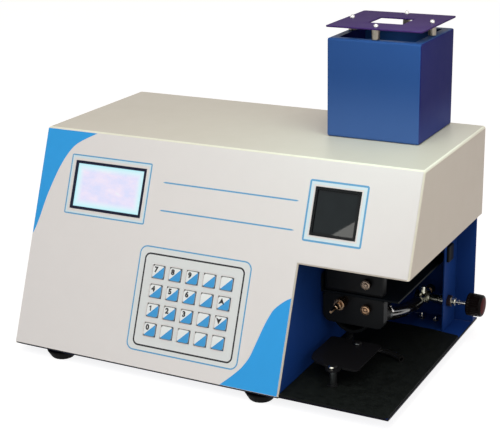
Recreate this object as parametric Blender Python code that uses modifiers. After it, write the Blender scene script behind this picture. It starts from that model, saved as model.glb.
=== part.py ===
"""Bench flame photometer: a folded case with a sloping front panel, an open sampling bay at its right,
a square chimney on top, and the burner, mixing chamber, gas valve and electronics that make it work.

Metres, +Z up. The front faces -Y. The origin is under the middle of the whole object, on the bench.
Pieces are placed in the case's own frame: X from the case's left side, Y from the top front edge towards
the back, Z from the lower edge of the front panel. An empty carries that frame.
"""
import math

import bmesh
import bpy
from mathutils import Vector

# Case: folded steel sheet
case_width = 0.420
case_height = 0.215
top_depth = 0.182
lean = math.radians(21.3)
sheet = 0.0012
fold_radius = 0.0022
fold_segments = 2
gap = 0.0003
corner_room = 0.0009
overrun = 0.004
merge_distance = 0.00001
arc_steps = 3
key_arc_steps = 2

# Sampling bay at the right
bay_width = 0.111
bay_height_share = 0.5582
back_wall_setback = 0.017
floor_sheet = 0.0019
tray_lip = 0.014
bottom_plate = 0.0024
bottom_plate_inset = 0.004
mat_thickness = 0.0016
mat_inset = 0.0006
mat_back_inset = 0.0391
mat_back_bow = 0.006
mat_corner = 0.003

# Feet
foot_height = 0.009
foot_top_radius = 0.0165
foot_bottom_radius = 0.0125
foot_fillet = 0.0012
foot_left = 0.050
foot_right_inset = 0.026
foot_front_inset = 0.016
foot_back_inset = 0.022
foot_sides = 20

# Printed sheet on the front panel
overlay_thickness = 0.0005
overlay_margin = 0.0013

# Display
lcd_left = 0.0429
lcd_top = 0.0316
lcd_width = 0.0855
lcd_height = 0.0499
lcd_band = 0.0023
lcd_proud = 0.0005
lcd_flange = 0.003
lcd_flange_thickness = 0.001
lcd_sink = 0.0004
lcd_module_border = 0.004
lcd_module_depth = 0.008

# Flame window
window_offset = 0.0067
window_top = 0.0266
window_width = 0.0467
window_height = 0.0462
window_band = 0.0025
window_proud = 0.0006
window_flange = 0.002
window_flange_thickness = 0.001
window_glass_border = 0.0012
window_glass_thickness = 0.002

# Keypad
key_rows = 4
key_columns = 5
key_width = 0.0137
key_height = 0.0133
key_pitch_across = 0.01935
key_pitch_down = 0.0194
key_inset = 0.1558
key_foot = 0.0339
key_proud = 0.0010
key_travel = 0.0006
key_flange = 0.0011
key_flange_thickness = 0.0010
key_edge = 0.0009
key_corner = 0.0014
key_names = (
    ("key_7", "key_8", "key_9", "key_f1", "key_f2"),
    ("key_4", "key_5", "key_6", "key_f3", "key_up"),
    ("key_1", "key_2", "key_3", "key_f4", "key_down"),
    ("key_0", "key_f5", "key_f6", "key_f7", "key_f8"),
)

# Main board behind the keys
board_border = 0.014
board_thickness = 0.0016
board_post_radius = 0.003
board_post_inset = 0.006
chip_height = 0.004
chip_shares = ((0.12, 0.55, 0.42, 0.85), (0.55, 0.60, 0.78, 0.82), (0.20, 0.16, 0.36, 0.42), (0.52, 0.14, 0.88, 0.34))

# Flame axis, measured from the bay's left edge and the case's back
flame_offset = 0.0262
flame_setback = 0.0530

# Chimney and heat shield
chimney_width = 0.098
chimney_height = 0.0996
chimney_top_flange = 0.013
chimney_bottom_flange = 0.010
chimney_fold = 0.0018
flue_width = 0.046
shield_width = 0.101
shield_thickness = 0.0015
shield_lift = 0.0108
shield_corner = 0.003
shield_hole = 0.036
spacer_radius = 0.004
spacer_inset = 0.0065
screw_head_radius = 0.0024
screw_head_height = 0.0036

# Burner, its glass and its support
shelf_drop = 0.0462
shelf_thickness = 0.002
shelf_front = 0.015
shelf_room = 0.0073
shelf_lip = 0.016
base_height = 0.032
base_face_left = 0.0035
base_face_width = 0.0625
base_face_depth = 0.012
base_face_height = 0.028
base_body_half = 0.018
base_body_back = 0.018
base_edge = 0.003
burner_stem_radius = 0.0075
burner_flange_radius = 0.0115
burner_flange_height = 0.004
burner_head_radius = 0.0135
burner_head_height = 0.012
burner_rise = 0.030
burner_slot = 0.0016
burner_slot_depth = 0.003
burner_slot_pitch = 0.0045
burner_slot_count = 5
burner_hole_radius = 0.016
glass_radius = 0.021
glass_wall = 0.002
glass_room = 0.0088

# Mixing chamber under the shelf
chamber_offset = 0.0285
chamber_radius = 0.0215
chamber_wall = 0.003
chamber_front = 0.0253
chamber_length = 0.060
chamber_drop = 0.0006
neck_radius = 0.008
neck_back = 0.030
neck_rise = 0.006
cover_left = 0.0025
cover_plate_width = 0.0645
cover_plate_height = 0.0300
cover_plate_thickness = 0.010
cover_edge = 0.007
drain_back = 0.008
drain_aside = 0.0045
drain_radius = 0.0032
drain_rib_radius = 0.0042
drain_rib_count = 3
drain_elbow_reach = 0.0075
drain_heading = math.radians(30)
port_back = 0.018
port_drop = 0.0030
port_reach = 0.0070
port_radius = 0.0040
port_collar_length = 0.008

# Nebuliser and thumb nuts on the chamber's front
nebuliser_offset = 0.0260
nebuliser_drop = 0.0050
nebuliser_nut_radius = 0.0062
nebuliser_nut_length = 0.0095
nebuliser_neck_radius = 0.0040
nebuliser_neck_length = 0.0060
nebuliser_nose_length = 0.019
nebuliser_nose_radius = 0.0028
nebuliser_tip_radius = 0.0011
nebuliser_spigot_radius = 0.003
nebuliser_spigot_length = 0.0095
nut_offset = 0.0497
nut_radius = 0.0052
nut_length = 0.0065
nut_stud_radius = 0.0022
nut_stud_length = 0.0045
nut_edge = 0.0008
upper_nut_rise = 0.0140
lower_nut_drop = 0.0102
turned_sides = 24

# Gas valve on its plate
valve_plate_inset = 0.0205
valve_plate_width = 0.0385
valve_plate_foot = 0.035
clip_width = 0.014
clip_height = 0.018
clip_depth = 0.0032
clip_setback = 0.0195
clip_bottom = 0.0785
clip_edge = 0.0012
valve_height = 0.033
valve_setback = 0.0250
valve_bonnet_radius = 0.0045
valve_nut_radius = 0.0065
valve_nut_length = 0.008
valve_body_radius = 0.0068
valve_body_length = 0.015
valve_aside = 0.0058
valve_cap_radius = 0.0042
valve_cap_rise = 0.012
valve_port_radius = 0.0040
valve_port_reach = 0.0180
valve_collar_radius = 0.0058
valve_collar_length = 0.006
spindle_radius = 0.0026
spindle_depth = 0.005
knob_radius = 0.0116
knob_length = 0.0174
knob_standoff = 0.0016
knob_skirt = 0.0004
knob_edge = 0.0012
knob_round = 0.0022
knob_groove_count = 18
knob_groove_radius = 0.0009
knob_groove_inset = 0.0027
knob_cap_dome = 0.0008
knob_cap_radius = 0.0092
hose_radius = 0.0068
hose_ease = 1.6
hose_points = 16
waste_hose_radius = 0.0031
waste_hose_sweep = math.radians(70)
waste_hose_bend = 0.043
waste_hose_points = 12

# Sample table in the bay
table_left = 0.0075
table_width = 0.0550
table_front = -0.0400
table_length = 0.0650
table_height = 0.0166
table_thickness = 0.0018
table_round = 0.020
table_corner = 0.004
table_lug_radius = 0.0075
table_lug_offset = 0.0320
table_lug_reach = 0.0035
pillar_radius = 0.0038
pillar_foot_radius = 0.0052
pillar_foot_height = 0.0012
table_screw_radius = 0.0042
table_screw_height = 0.0024

# Inside the left compartment
light_hole_radius = 0.011
optics_room = 0.0198
optics_width = 0.058
optics_depth = 0.050
optics_height = 0.052
optics_edge = 0.002
lens_radius = 0.0095
lens_reach = 0.006
filter_slot_width = 0.004
filter_slot_depth = 0.018
transformer_left = 0.034
transformer_back = 0.050
transformer_width = 0.060
transformer_depth = 0.050
transformer_height = 0.052
transformer_core = 0.020
transformer_foot = 0.012

# Rear panel and its fittings
rear_inset = 0.0006
vent_count = 9
vent_width = 0.003
vent_height = 0.040
vent_pitch = 0.009
vent_left = 0.170
vent_bottom = 0.130
inlet_left = 0.040
inlet_bottom = 0.026
inlet_width = 0.030
inlet_height = 0.0480
inlet_depth = 0.022
inlet_flange = 0.004
inlet_flange_thickness = 0.002
socket_width = 0.024
socket_height = 0.0165
socket_depth = 0.016
socket_margin = 0.0045
pin_width = 0.0022
pin_height = 0.0040
pin_length = 0.011
pin_pitch = 0.007
rocker_width = 0.0190
rocker_height = 0.0130
rocker_depth = 0.008
rocker_margin = 0.0040
rocker_angle = math.radians(9.0)
rocker_rise = 0.0030
rocker_sink = 0.0030
rocker_taper = 0.8
rocker_recess = 0.0015
rocker_room = 0.0014
nipple_radius = 0.0032
nipple_barb_radius = 0.0042
nipple_barb_count = 3
nipple_barb_pitch = 0.0035
nipple_length = 0.016
nipple_nut_radius = 0.0075
nipple_nut_length = 0.004
nipple_back_length = 0.008
nipple_thread_radius = 0.0048
air_inset = 0.059
air_height = 0.060

# Sizes that follow from those above
bay_height = case_height * bay_height_share
slope_run = case_height * math.tan(lean)
slope_length = case_height / math.cos(lean)
bay_left = case_width - bay_width
overlay_top = gap + overlay_thickness
floor_top = gap + floor_sheet
mat_top = floor_top + gap + mat_thickness
back_wall_front = top_depth - back_wall_setback
overhang_length = (case_height - bay_height) / math.cos(lean)
roof_bottom = bay_height
roof_top = roof_bottom + sheet
rear_front = top_depth - rear_inset - sheet
flame_x = bay_left + flame_offset
flame_y = top_depth - flame_setback
flame_height = case_height - sheet - optics_room - optics_height / 2
window_left = bay_left + window_offset
key_left = bay_left - key_inset
key_top = slope_length - key_foot - key_height - (key_rows - 1) * key_pitch_down
air_left = bay_left - air_inset
shelf_height = bay_height - shelf_drop
burner_top = bay_height + burner_rise
glass_top = case_height - sheet - glass_room
chimney_bottom = case_height + gap
chimney_top = chimney_bottom + chimney_height
shield_bottom = chimney_top + shield_lift
shield_top = shield_bottom + shield_thickness
shelf_top = shelf_height + shelf_thickness
foot_top = -bottom_plate - gap
foot_bottom = foot_top - foot_height
knob_start = case_width + knob_standoff
knob_end = knob_start + knob_length
valve_plate_right = case_width - valve_plate_inset
valve_plate_left = valve_plate_right - sheet
valve_y = back_wall_front - valve_setback
front_reach = max(slope_run, (slope_length - overlay_margin) * math.sin(lean) + overlay_top * math.cos(lean))
rear_reach = top_depth + nipple_length
chamber_x = bay_left + chamber_offset
chamber_z = shelf_height - gap - chamber_drop - chamber_radius
key_flange_top = -sheet - gap
key_flange_bottom = key_flange_top - key_flange_thickness
board_front = key_flange_bottom - key_travel - gap
valve_centre_x = bay_left + chamber_offset + chamber_radius + port_reach + valve_aside
mat_back_y = back_wall_front - mat_back_inset
neck_y = chamber_front + neck_back
nut_x = bay_left + nut_offset
upper_nut_z = shelf_top + upper_nut_rise
lower_nut_z = shelf_height - lower_nut_drop
nebuliser_x = bay_left + nebuliser_offset
nebuliser_z = shelf_height - nebuliser_drop
rocker_z = inlet_bottom + inlet_height - rocker_margin - rocker_height / 2
rocker_pivot_y = rear_front + sheet + gap + inlet_flange_thickness - rocker_recess

# Colours as red, green, blue, then roughness and metallic
finishes = {
    "cream": ((0.62, 0.57, 0.50), 0.50, 0.0),
    "overlay": ((0.74, 0.73, 0.72), 0.35, 0.0),
    "blue": ((0.022, 0.075, 0.26), 0.45, 0.0),
    "shield": ((0.05, 0.04, 0.13), 0.40, 0.2),
    "rubber": ((0.012, 0.012, 0.012), 0.80, 0.0),
    "black": ((0.015, 0.015, 0.016), 0.45, 0.0),
    "screen": ((0.55, 0.66, 0.95), 0.20, 0.0),
    "smoked": ((0.03, 0.035, 0.035), 0.10, 0.0),
    "key": ((0.45, 0.58, 0.72), 0.40, 0.0),
    "brass": ((0.62, 0.46, 0.22), 0.30, 1.0),
    "steel": ((0.60, 0.60, 0.60), 0.30, 1.0),
    "glass": ((0.80, 0.85, 0.85), 0.05, 0.0),
    "hose": ((0.10, 0.10, 0.10), 0.15, 0.0),
    "board": ((0.02, 0.16, 0.06), 0.55, 0.0),
    "knob": ((0.02, 0.012, 0.012), 0.35, 0.0),
    "red": ((0.35, 0.02, 0.02), 0.40, 0.0),
}


def clear_scene():
    for item in list(bpy.data.objects):
        bpy.data.objects.remove(item, do_unlink=True)


def new_collection(name):
    group = bpy.data.collections.new(name)
    bpy.context.scene.collection.children.link(group)
    return group


def new_empty(name, location, rotation, parent):
    empty = bpy.data.objects.new(name, None)
    parts.objects.link(empty)
    empty.location = location
    empty.rotation_euler = rotation
    empty.parent = parent
    return empty


def add(name, mesh, parent, location=(0, 0, 0)):
    item = bpy.data.objects.new(name, mesh)
    parts.objects.link(item)
    item.parent = parent
    item.location = location
    return item


def paint(item, finish):
    colour, roughness, metallic = finishes[finish]
    material = bpy.data.materials.get(finish) or bpy.data.materials.new(finish)
    material.use_nodes = True
    shader = material.node_tree.nodes["Principled BSDF"]
    shader.inputs["Base Color"].default_value = (*colour, 1)
    shader.inputs["Roughness"].default_value = roughness
    shader.inputs["Metallic"].default_value = metallic
    material.diffuse_color = (*colour, 1)
    item.data.materials.clear()
    item.data.materials.append(material)
    return item


def helper(item):
    """Marks an object as a cutter or a fused piece, which the model itself does not show."""
    parts.objects.unlink(item)
    cutters.objects.link(item)
    item.hide_render = True
    item.display_type = "WIRE"
    return item


def boolean(target, other, operation):
    step = target.modifiers.new(operation.lower(), "BOOLEAN")
    step.operation = operation
    step.solver = "EXACT"
    step.object = other


def cut(target, *others):
    for other in others:
        if other.name not in cutters.objects:
            helper(other)
        boolean(target, other, "DIFFERENCE")
    return target


def fuse(target, *others):
    for other in others:
        if other.name not in cutters.objects:
            helper(other)
        boolean(target, other, "UNION")
    return target


def round_edges(item, width, segments=2, angle=math.radians(40)):
    step = item.modifiers.new("round edges", "BEVEL")
    step.width = width
    step.segments = segments
    step.limit_method = "ANGLE"
    step.angle_limit = angle
    return item


def smooth(item, angle=math.radians(35)):
    item.data.shade_smooth()
    item.data.set_sharp_from_angle(angle=angle)
    return item


def box(name, low, high, parent=None):
    low, high = Vector(low), Vector(high)
    mesh = bpy.data.meshes.new(name)
    shape = bmesh.new()
    bmesh.ops.create_cube(shape, size=1)
    bmesh.ops.scale(shape, vec=high - low, verts=shape.verts)
    shape.to_mesh(mesh)
    shape.free()
    return add(name, mesh, parent or case, (low + high) / 2)


def boxes(name, corners, parent=None):
    """Several separate boxes in one cutter."""
    mesh = bpy.data.meshes.new(name)
    shape = bmesh.new()
    for low, high in corners:
        low, high = Vector(low), Vector(high)
        made = bmesh.ops.create_cube(shape, size=1)["verts"]
        bmesh.ops.scale(shape, vec=high - low, verts=made)
        bmesh.ops.translate(shape, vec=(low + high) / 2, verts=made)
    shape.to_mesh(mesh)
    shape.free()
    return add(name, mesh, parent or case)


def rod(name, start, end, radius, end_radius=None, sides=turned_sides, parent=None):
    start, end = Vector(start), Vector(end)
    mesh = bpy.data.meshes.new(name)
    shape = bmesh.new()
    bmesh.ops.create_cone(shape, cap_ends=True, segments=sides, radius1=radius,
                          radius2=radius if end_radius is None else end_radius, depth=(end - start).length)
    shape.to_mesh(mesh)
    shape.free()
    item = smooth(add(name, mesh, parent or case, (start + end) / 2))
    item.rotation_euler = (end - start).to_track_quat("Z", "Y").to_euler()
    return item


def turned(name, profile, location, axis=(0, 0, 1), sides=turned_sides, ring=False, parent=None):
    """Turns a profile of (radius, height) points, which runs from the top down its outer side."""
    mesh = bpy.data.meshes.new(name)
    shape = bmesh.new()
    points = [shape.verts.new((radius, 0, height)) for radius, height in profile]
    for first, second in zip(points, points[1:]):
        shape.edges.new((first, second))
    if ring:
        shape.edges.new((points[-1], points[0]))
    shape.to_mesh(mesh)
    shape.free()
    item = add(name, mesh, parent or case, location)
    item.rotation_euler = Vector(axis).to_track_quat("Z", "Y").to_euler()
    step = item.modifiers.new("turn", "SCREW")
    step.steps = sides
    step.render_steps = sides
    step.use_merge_vertices = True
    step.merge_threshold = merge_distance
    step.use_smooth_shade = True
    return item


def rounded_outline(corners, steps=arc_steps):
    """Takes (x, y, radius) corners in order and gives the points of the outline with round corners."""
    points = []
    count = len(corners)
    for index, (x, y, radius) in enumerate(corners):
        corner = Vector((x, y))
        before = (Vector(corners[index - 1][:2]) - corner).normalized()
        after = (Vector(corners[(index + 1) % count][:2]) - corner).normalized()
        if radius == 0:
            points.append(corner)
            continue
        half = before.angle(after) / 2
        centre = corner + (before + after).normalized() * radius / math.sin(half)
        start = corner + before * radius / math.tan(half) - centre
        sweep = start.angle_signed(corner + after * radius / math.tan(half) - centre)
        for step in range(steps + 1):
            turn = -sweep * step / steps
            points.append(centre + Vector((start.x * math.cos(turn) - start.y * math.sin(turn),
                                           start.x * math.sin(turn) + start.y * math.cos(turn))))
    return points


def plate(name, outline, thickness, location, rotation=(0, 0, 0), parent=None):
    """A flat outline with a thickness, centred on its location's plane."""
    data = bpy.data.curves.new(name, "CURVE")
    data.dimensions = "2D"
    data.fill_mode = "BOTH"
    data.extrude = thickness / 2
    spline = data.splines.new("POLY")
    spline.points.add(len(outline) - 1)
    for point, place in zip(spline.points, outline):
        point.co = (place[0], place[1], 0, 1)
    spline.use_cyclic_u = True
    return as_mesh(name, data, location, rotation, parent)


def as_mesh(name, data, location, rotation, parent):
    drawn = bpy.data.objects.new(name + "_curve", data)
    parts.objects.link(drawn)
    drawn.parent = parent or case
    drawn.location = location
    drawn.rotation_euler = rotation
    bpy.context.view_layer.update()
    evaluated = drawn.evaluated_get(bpy.context.evaluated_depsgraph_get())
    mesh = bpy.data.meshes.new_from_object(evaluated)
    mesh.name = name
    shape = bmesh.new()
    shape.from_mesh(mesh)
    bmesh.ops.remove_doubles(shape, verts=shape.verts, dist=merge_distance)
    bmesh.ops.recalc_face_normals(shape, faces=shape.faces)
    shape.to_mesh(mesh)
    shape.free()
    bpy.data.objects.remove(drawn, do_unlink=True)
    item = add(name, mesh, parent or case, location)
    item.rotation_euler = rotation
    return item


def tube(name, points, radius, resolution=3, parent=None):
    data = bpy.data.curves.new(name, "CURVE")
    data.dimensions = "3D"
    data.bevel_depth = radius
    data.bevel_resolution = resolution
    data.use_fill_caps = True
    spline = data.splines.new("POLY")
    spline.points.add(len(points) - 1)
    for point, place in zip(spline.points, points):
        point.co = (*place, 1)
    return smooth(as_mesh(name, data, (0, 0, 0), (0, 0, 0), parent))


def front_y(height):
    """Outer face of the sloping front panel at a height."""
    return -(case_height - height) * math.tan(lean)


def inner_front_y(height):
    return front_y(height) + (sheet + gap) / math.cos(lean)


def panel_box(name, left, top, width, height, low, high):
    """A box on the front panel: left and top on the panel, low and high along its outward normal."""
    return box(name, (left, -top - height, low), (left + width, -top, high), panel)


def key_place(row, column):
    left = key_left + column * key_pitch_across
    top = key_top + row * key_pitch_down
    return left + key_width / 2, -top - key_height / 2


def panel_cutters():
    """Openings that the cover and the printed sheet share."""
    low, high = -sheet - overrun, overrun
    lcd = panel_box("lcd_opening", lcd_left - gap, lcd_top - gap, lcd_width + 2 * gap, lcd_height + 2 * gap, low, high)
    window = panel_box("window_opening", window_left - gap, window_top - gap,
                       window_width + 2 * gap, window_height + 2 * gap, low, high)
    corners = []
    for row in range(key_rows):
        for column in range(key_columns):
            x, y = key_place(row, column)
            half = Vector((key_width / 2 + gap, key_height / 2 + gap))
            corners.append(((x - half.x, y - half.y, low), (x + half.x, y + half.y, high)))
    keys = boxes("key_openings", corners, panel)
    return [helper(item) for item in (lcd, window, keys)]


def make_cover(openings):
    low = Vector((0, 0, 0))
    high = Vector((case_width, top_depth, case_height))
    cover = box("cover", low, high)
    shape = bmesh.new()
    shape.from_mesh(cover.data)
    for vert in shape.verts:
        if vert.co.y < 0 and vert.co.z < 0:
            vert.co.y -= slope_run
    open_faces = [face for face in shape.faces if face.normal.z < -0.9 or face.normal.y > 0.9]
    bmesh.ops.delete(shape, geom=open_faces, context="FACES_ONLY")
    shape.to_mesh(cover.data)
    shape.free()
    round_edges(cover, fold_radius, fold_segments)
    wall = cover.modifiers.new("sheet", "SOLIDIFY")
    wall.thickness = sheet
    wall.offset = -1
    wall.use_even_offset = True
    bay = box("bay_notch", (bay_left, -slope_run - overrun, -overrun),
              (case_width + overrun, top_depth + overrun, bay_height))
    flue = box("flue_opening", (flame_x - flue_width / 2, flame_y - flue_width / 2, case_height - sheet - overrun),
               (flame_x + flue_width / 2, flame_y + flue_width / 2, case_height + overrun))
    trim = box("lower_trim", (-overrun, -slope_run - overrun, -overrun), (case_width + overrun, top_depth + overrun, 0))
    cut(cover, bay, flue, trim, *openings)
    return paint(cover, "cream")


def make_overlay(openings):
    width = case_width - 2 * overlay_margin
    overlay = panel_box("front_overlay", overlay_margin, overlay_margin, width,
                        slope_length - 2 * overlay_margin, gap, overlay_top)
    notch = panel_box("overlay_notch", bay_left - overlay_margin, overhang_length - overlay_margin,
                      bay_width + overrun, slope_length, -overrun, overrun)
    return paint(cut(overlay, notch, *openings), "overlay")


def make_chassis():
    """Bottom tray: floor, lips inside the closed side, and a thicker plate under that side."""
    left = sheet + corner_room
    front = inner_front_y(floor_top)
    back = rear_front - gap
    chassis = box("chassis", (left, front, gap), (case_width, back, floor_top))
    bay_floor = box("bay_floor", (bay_left + gap, front_y(floor_top), gap), (case_width, front + sheet, floor_top))
    plinth = box("plinth", (bottom_plate_inset, front_y(0) + bottom_plate_inset, -bottom_plate),
                 (bay_left - 2 * bottom_plate_inset, top_depth - bottom_plate_inset, -gap))
    riser = box("plinth_riser", (bottom_plate_inset + sheet, front + sheet, -bottom_plate / 2),
                (bay_left - 3 * bottom_plate_inset, back - sheet, floor_sheet / 2))
    lip_front = inner_front_y(tray_lip)
    right = bay_left - tray_lip
    corner = box("lip_front", (left, lip_front, floor_sheet / 2), (right, lip_front + sheet, tray_lip))
    side = box("lip_left", (left, lip_front + sheet / 2, floor_sheet / 2), (left + sheet, back, tray_lip))
    rear = box("lip_rear", (left + sheet / 2, back - sheet, floor_sheet / 2), (right, back, tray_lip))
    return paint(fuse(chassis, bay_floor, plinth, riser, corner, side, rear), "blue")


def make_bay_walls():
    """The wall at the bay's left runs up to the lid and back to the rear panel, with the light's hole in it."""
    low, high = floor_top + gap, case_height - sheet - corner_room
    outline = [(inner_front_y(low), low), (rear_front - gap, low), (rear_front - gap, high),
               (inner_front_y(high) + corner_room, high)]
    side = plate("bay_side_wall", outline, sheet, (bay_left - gap - sheet / 2, 0, 0),
                 (math.pi / 2, 0, math.pi / 2))
    hole = rod("light_hole", (bay_left - overrun, flame_y, flame_height),
               (bay_left + overrun, flame_y, flame_height), light_hole_radius)
    cut(side, hole)
    back = box("bay_back_wall", (bay_left, back_wall_front, low), (case_width, back_wall_front + sheet, roof_bottom - gap))
    bore = rod("gas_bore", (valve_centre_x, back_wall_front - overrun, valve_height),
               (valve_centre_x, back_wall_front + overrun, valve_height), nipple_thread_radius + gap)
    cut(back, bore)
    roof = box("bay_roof", (bay_left, inner_front_y(roof_top) + gap, roof_bottom),
               (case_width - sheet - corner_room, rear_front - gap, roof_top))
    hole = rod("burner_hole", (flame_x, flame_y, roof_bottom - overrun), (flame_x, flame_y, roof_top + overrun),
               burner_hole_radius)
    cut(roof, hole)
    for item in (side, back, roof):
        paint(item, "blue")


def make_rear_panel():
    left, right = sheet + corner_room, case_width - sheet - corner_room
    panel_sheet = box("rear_panel", (left, rear_front, gap),
                      (right, rear_front + sheet, case_height - sheet - corner_room))
    notch = box("rear_notch", (bay_left - gap, rear_front - overrun, -overrun),
                (case_width + overrun, rear_front + overrun, roof_bottom - gap))
    low, high = rear_front - overrun, rear_front + overrun
    vents = boxes("vents", [((vent_left + step * vent_pitch, low, vent_bottom),
                             (vent_left + step * vent_pitch + vent_width, high, vent_bottom + vent_height))
                            for step in range(vent_count)])
    inlet = box("inlet_opening", (inlet_left - gap, low, inlet_bottom - gap),
                (inlet_left + inlet_width + gap, high, inlet_bottom + inlet_height + gap))
    air = rod("air_bore", (air_left, low, air_height), (air_left, high, air_height), nipple_thread_radius + gap)
    return paint(cut(panel_sheet, notch, vents, inlet, air), "cream")


def make_valve_plate():
    """Upright bracket plate with a foot along the floor and a clip for a hose, bored for the valve's neck."""
    upright = box("valve_plate", (valve_plate_left, back_wall_front - gap - valve_plate_width, floor_top + gap),
                  (valve_plate_right, back_wall_front - gap, roof_bottom - gap))
    foot = box("valve_plate_foot", (valve_plate_right - valve_plate_foot, mat_back_y + gap, floor_top + gap),
               (valve_plate_right - sheet / 2, back_wall_front - gap, floor_top + gap + sheet))
    bore = rod("valve_bore", (valve_plate_left - overrun, valve_y, valve_height),
               (valve_plate_right + overrun, valve_y, valve_height), valve_bonnet_radius + gap)
    clip_back = back_wall_front - clip_setback
    clip = box("hose_clip", (valve_plate_right - sheet / 2, clip_back - clip_width, clip_bottom),
               (valve_plate_right + clip_depth, clip_back, clip_bottom + clip_height))
    round_edges(clip, clip_edge)
    return paint(cut(fuse(upright, foot, clip), bore), "blue")


def make_mat():
    left, right = bay_left + mat_inset, case_width - mat_inset
    front, back = -slope_run + mat_inset, mat_back_y
    outline = rounded_outline([
        (left, front, 0), (right, front, mat_corner), (right, back - mat_back_bow, mat_corner),
        (right - bay_width / 4, back - mat_back_bow / 4, 0), (right - bay_width / 2, back, 0),
        (left, back - mat_back_bow / 3, mat_corner)])
    return paint(plate("bay_mat", outline, mat_thickness, (0, 0, mat_top - mat_thickness / 2)), "rubber")


def make_feet():
    back = top_depth - foot_back_inset
    front = -slope_run + foot_front_inset
    right = bay_left - foot_right_inset
    places = {"foot_front_left": (foot_left, front), "foot_front_right": (right, front),
              "foot_rear_left": (foot_left, back), "foot_rear_right": (right, back)}
    profile = [(0, foot_height), (foot_top_radius, foot_height), (foot_top_radius, foot_height - foot_fillet),
               (foot_bottom_radius, foot_fillet), (foot_bottom_radius - foot_fillet, 0), (0, 0)]
    for name, (x, y) in places.items():
        paint(turned(name, profile, (x, y, foot_bottom), sides=foot_sides), "rubber")


def make_chimney():
    """Square box of folded sheet, with a flange turned in at its top and at its foot."""
    half = chimney_width / 2
    chimney = box("chimney", (flame_x - half, flame_y - half, chimney_bottom),
                  (flame_x + half, flame_y + half, chimney_top))
    shape = bmesh.new()
    shape.from_mesh(chimney.data)
    top = [face for face in shape.faces if face.normal.z > 0.9]
    bottom = [face for face in shape.faces if face.normal.z < -0.9]
    bmesh.ops.inset_individual(shape, faces=top, thickness=chimney_top_flange)
    bmesh.ops.inset_individual(shape, faces=bottom, thickness=chimney_bottom_flange)
    bmesh.ops.delete(shape, geom=top + bottom, context="FACES_ONLY")
    shape.to_mesh(chimney.data)
    shape.free()
    round_edges(chimney, chimney_fold, fold_segments)
    wall = chimney.modifiers.new("sheet", "SOLIDIFY")
    wall.thickness = sheet
    wall.offset = -1
    wall.use_even_offset = True
    return paint(chimney, "blue")


def make_heat_shield():
    """Square plate with a square hole, held over the chimney by four spacers and their screws."""
    half = shield_width / 2
    corner = shield_corner
    outline = rounded_outline([(-half, -half, corner), (half, -half, corner), (half, half, corner), (-half, half, corner)])
    shield = plate("heat_shield", outline, shield_thickness,
                   (flame_x, flame_y, shield_bottom + shield_thickness / 2))
    hole = box("shield_opening", (flame_x - shield_hole / 2, flame_y - shield_hole / 2, shield_bottom - overrun),
               (flame_x + shield_hole / 2, flame_y + shield_hole / 2, shield_top + overrun))
    cut(shield, hole)
    reach = chimney_width / 2 - spacer_inset
    head = shield_top + screw_head_height
    for across, along in ((0, -1), (-1, 0), (0, 1), (1, 0)):
        place = (flame_x + across * reach, flame_y + along * reach, 0)
        profile = [(0, head), (screw_head_radius, head - screw_head_height / 3), (screw_head_radius, shield_top - gap),
                   (spacer_radius, shield_bottom + gap), (spacer_radius, chimney_top + gap), (0, chimney_top + gap)]
        fuse(shield, turned("spacer", profile, place, sides=12))
    return paint(shield, "shield")


def make_burner():
    """Burner head with slots, its stem, and the glass round the flame."""
    bottom = shelf_top + gap + base_height + gap
    head = burner_top - burner_head_height
    flange = bottom + burner_flange_height
    profile = [(0, burner_top), (burner_head_radius, burner_top), (burner_head_radius, head + burner_head_height / 4),
               (burner_stem_radius, head), (burner_stem_radius, flange), (burner_flange_radius, flange),
               (burner_flange_radius, bottom), (0, bottom)]
    burner = turned("burner", profile, (flame_x, flame_y, 0))
    span = burner_slot_pitch * (burner_slot_count - 1)
    corners = []
    for step in range(burner_slot_count):
        x = flame_x - span / 2 + step * burner_slot_pitch
        reach = math.sqrt((burner_head_radius * 0.8) ** 2 - (x - flame_x) ** 2)
        corners.append(((x - burner_slot / 2, flame_y - reach, burner_top - burner_slot_depth),
                        (x + burner_slot / 2, flame_y + reach, burner_top + overrun)))
    paint(cut(burner, boxes("burner_slots", corners)), "brass")
    low = roof_top + gap
    inner = glass_radius - glass_wall
    profile = [(glass_radius, glass_top), (glass_radius, low), (inner, low), (inner, glass_top)]
    paint(turned("glass_chimney", profile, (flame_x, flame_y, 0), ring=True), "glass")


def make_burner_support():
    """Shelf on the bay's left wall, and the moulded base on it that leads the mist to the burner."""
    left = bay_left + gap
    shelf = box("burner_shelf", (left, shelf_front, shelf_height), (valve_plate_left - shelf_room, back_wall_front - gap, shelf_top))
    lip = box("shelf_lip", (left, shelf_front, shelf_top - shelf_thickness / 2),
              (left + sheet, back_wall_front - gap, shelf_top + shelf_lip))
    neck = rod("neck_hole", (chamber_x, neck_y, shelf_height - overrun), (chamber_x, neck_y, shelf_top + overrun),
               neck_radius + gap)
    paint(cut(fuse(shelf, lip), neck), "black")
    low = shelf_top + gap
    face_left = bay_left + base_face_left
    base = box("burner_base", (face_left, shelf_front, low),
               (face_left + base_face_width, shelf_front + base_face_depth, low + base_face_height))
    body = box("base_body", (flame_x - base_body_half, shelf_front + base_face_depth / 2, low),
               (flame_x + base_body_half, flame_y + base_body_back, low + base_height))
    round_edges(base, base_edge)
    round_edges(body, base_edge)
    stud = rod("upper_stud_bore", (nut_x, shelf_front - overrun, upper_nut_z),
               (nut_x, shelf_front + nut_stud_length + gap, upper_nut_z), nut_stud_radius + gap, sides=12)
    duct = rod("neck_socket", (chamber_x, neck_y, low - overrun), (chamber_x, neck_y, low + neck_rise + gap),
               neck_radius + gap)
    paint(cut(fuse(base, body), stud, duct), "black")


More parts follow.
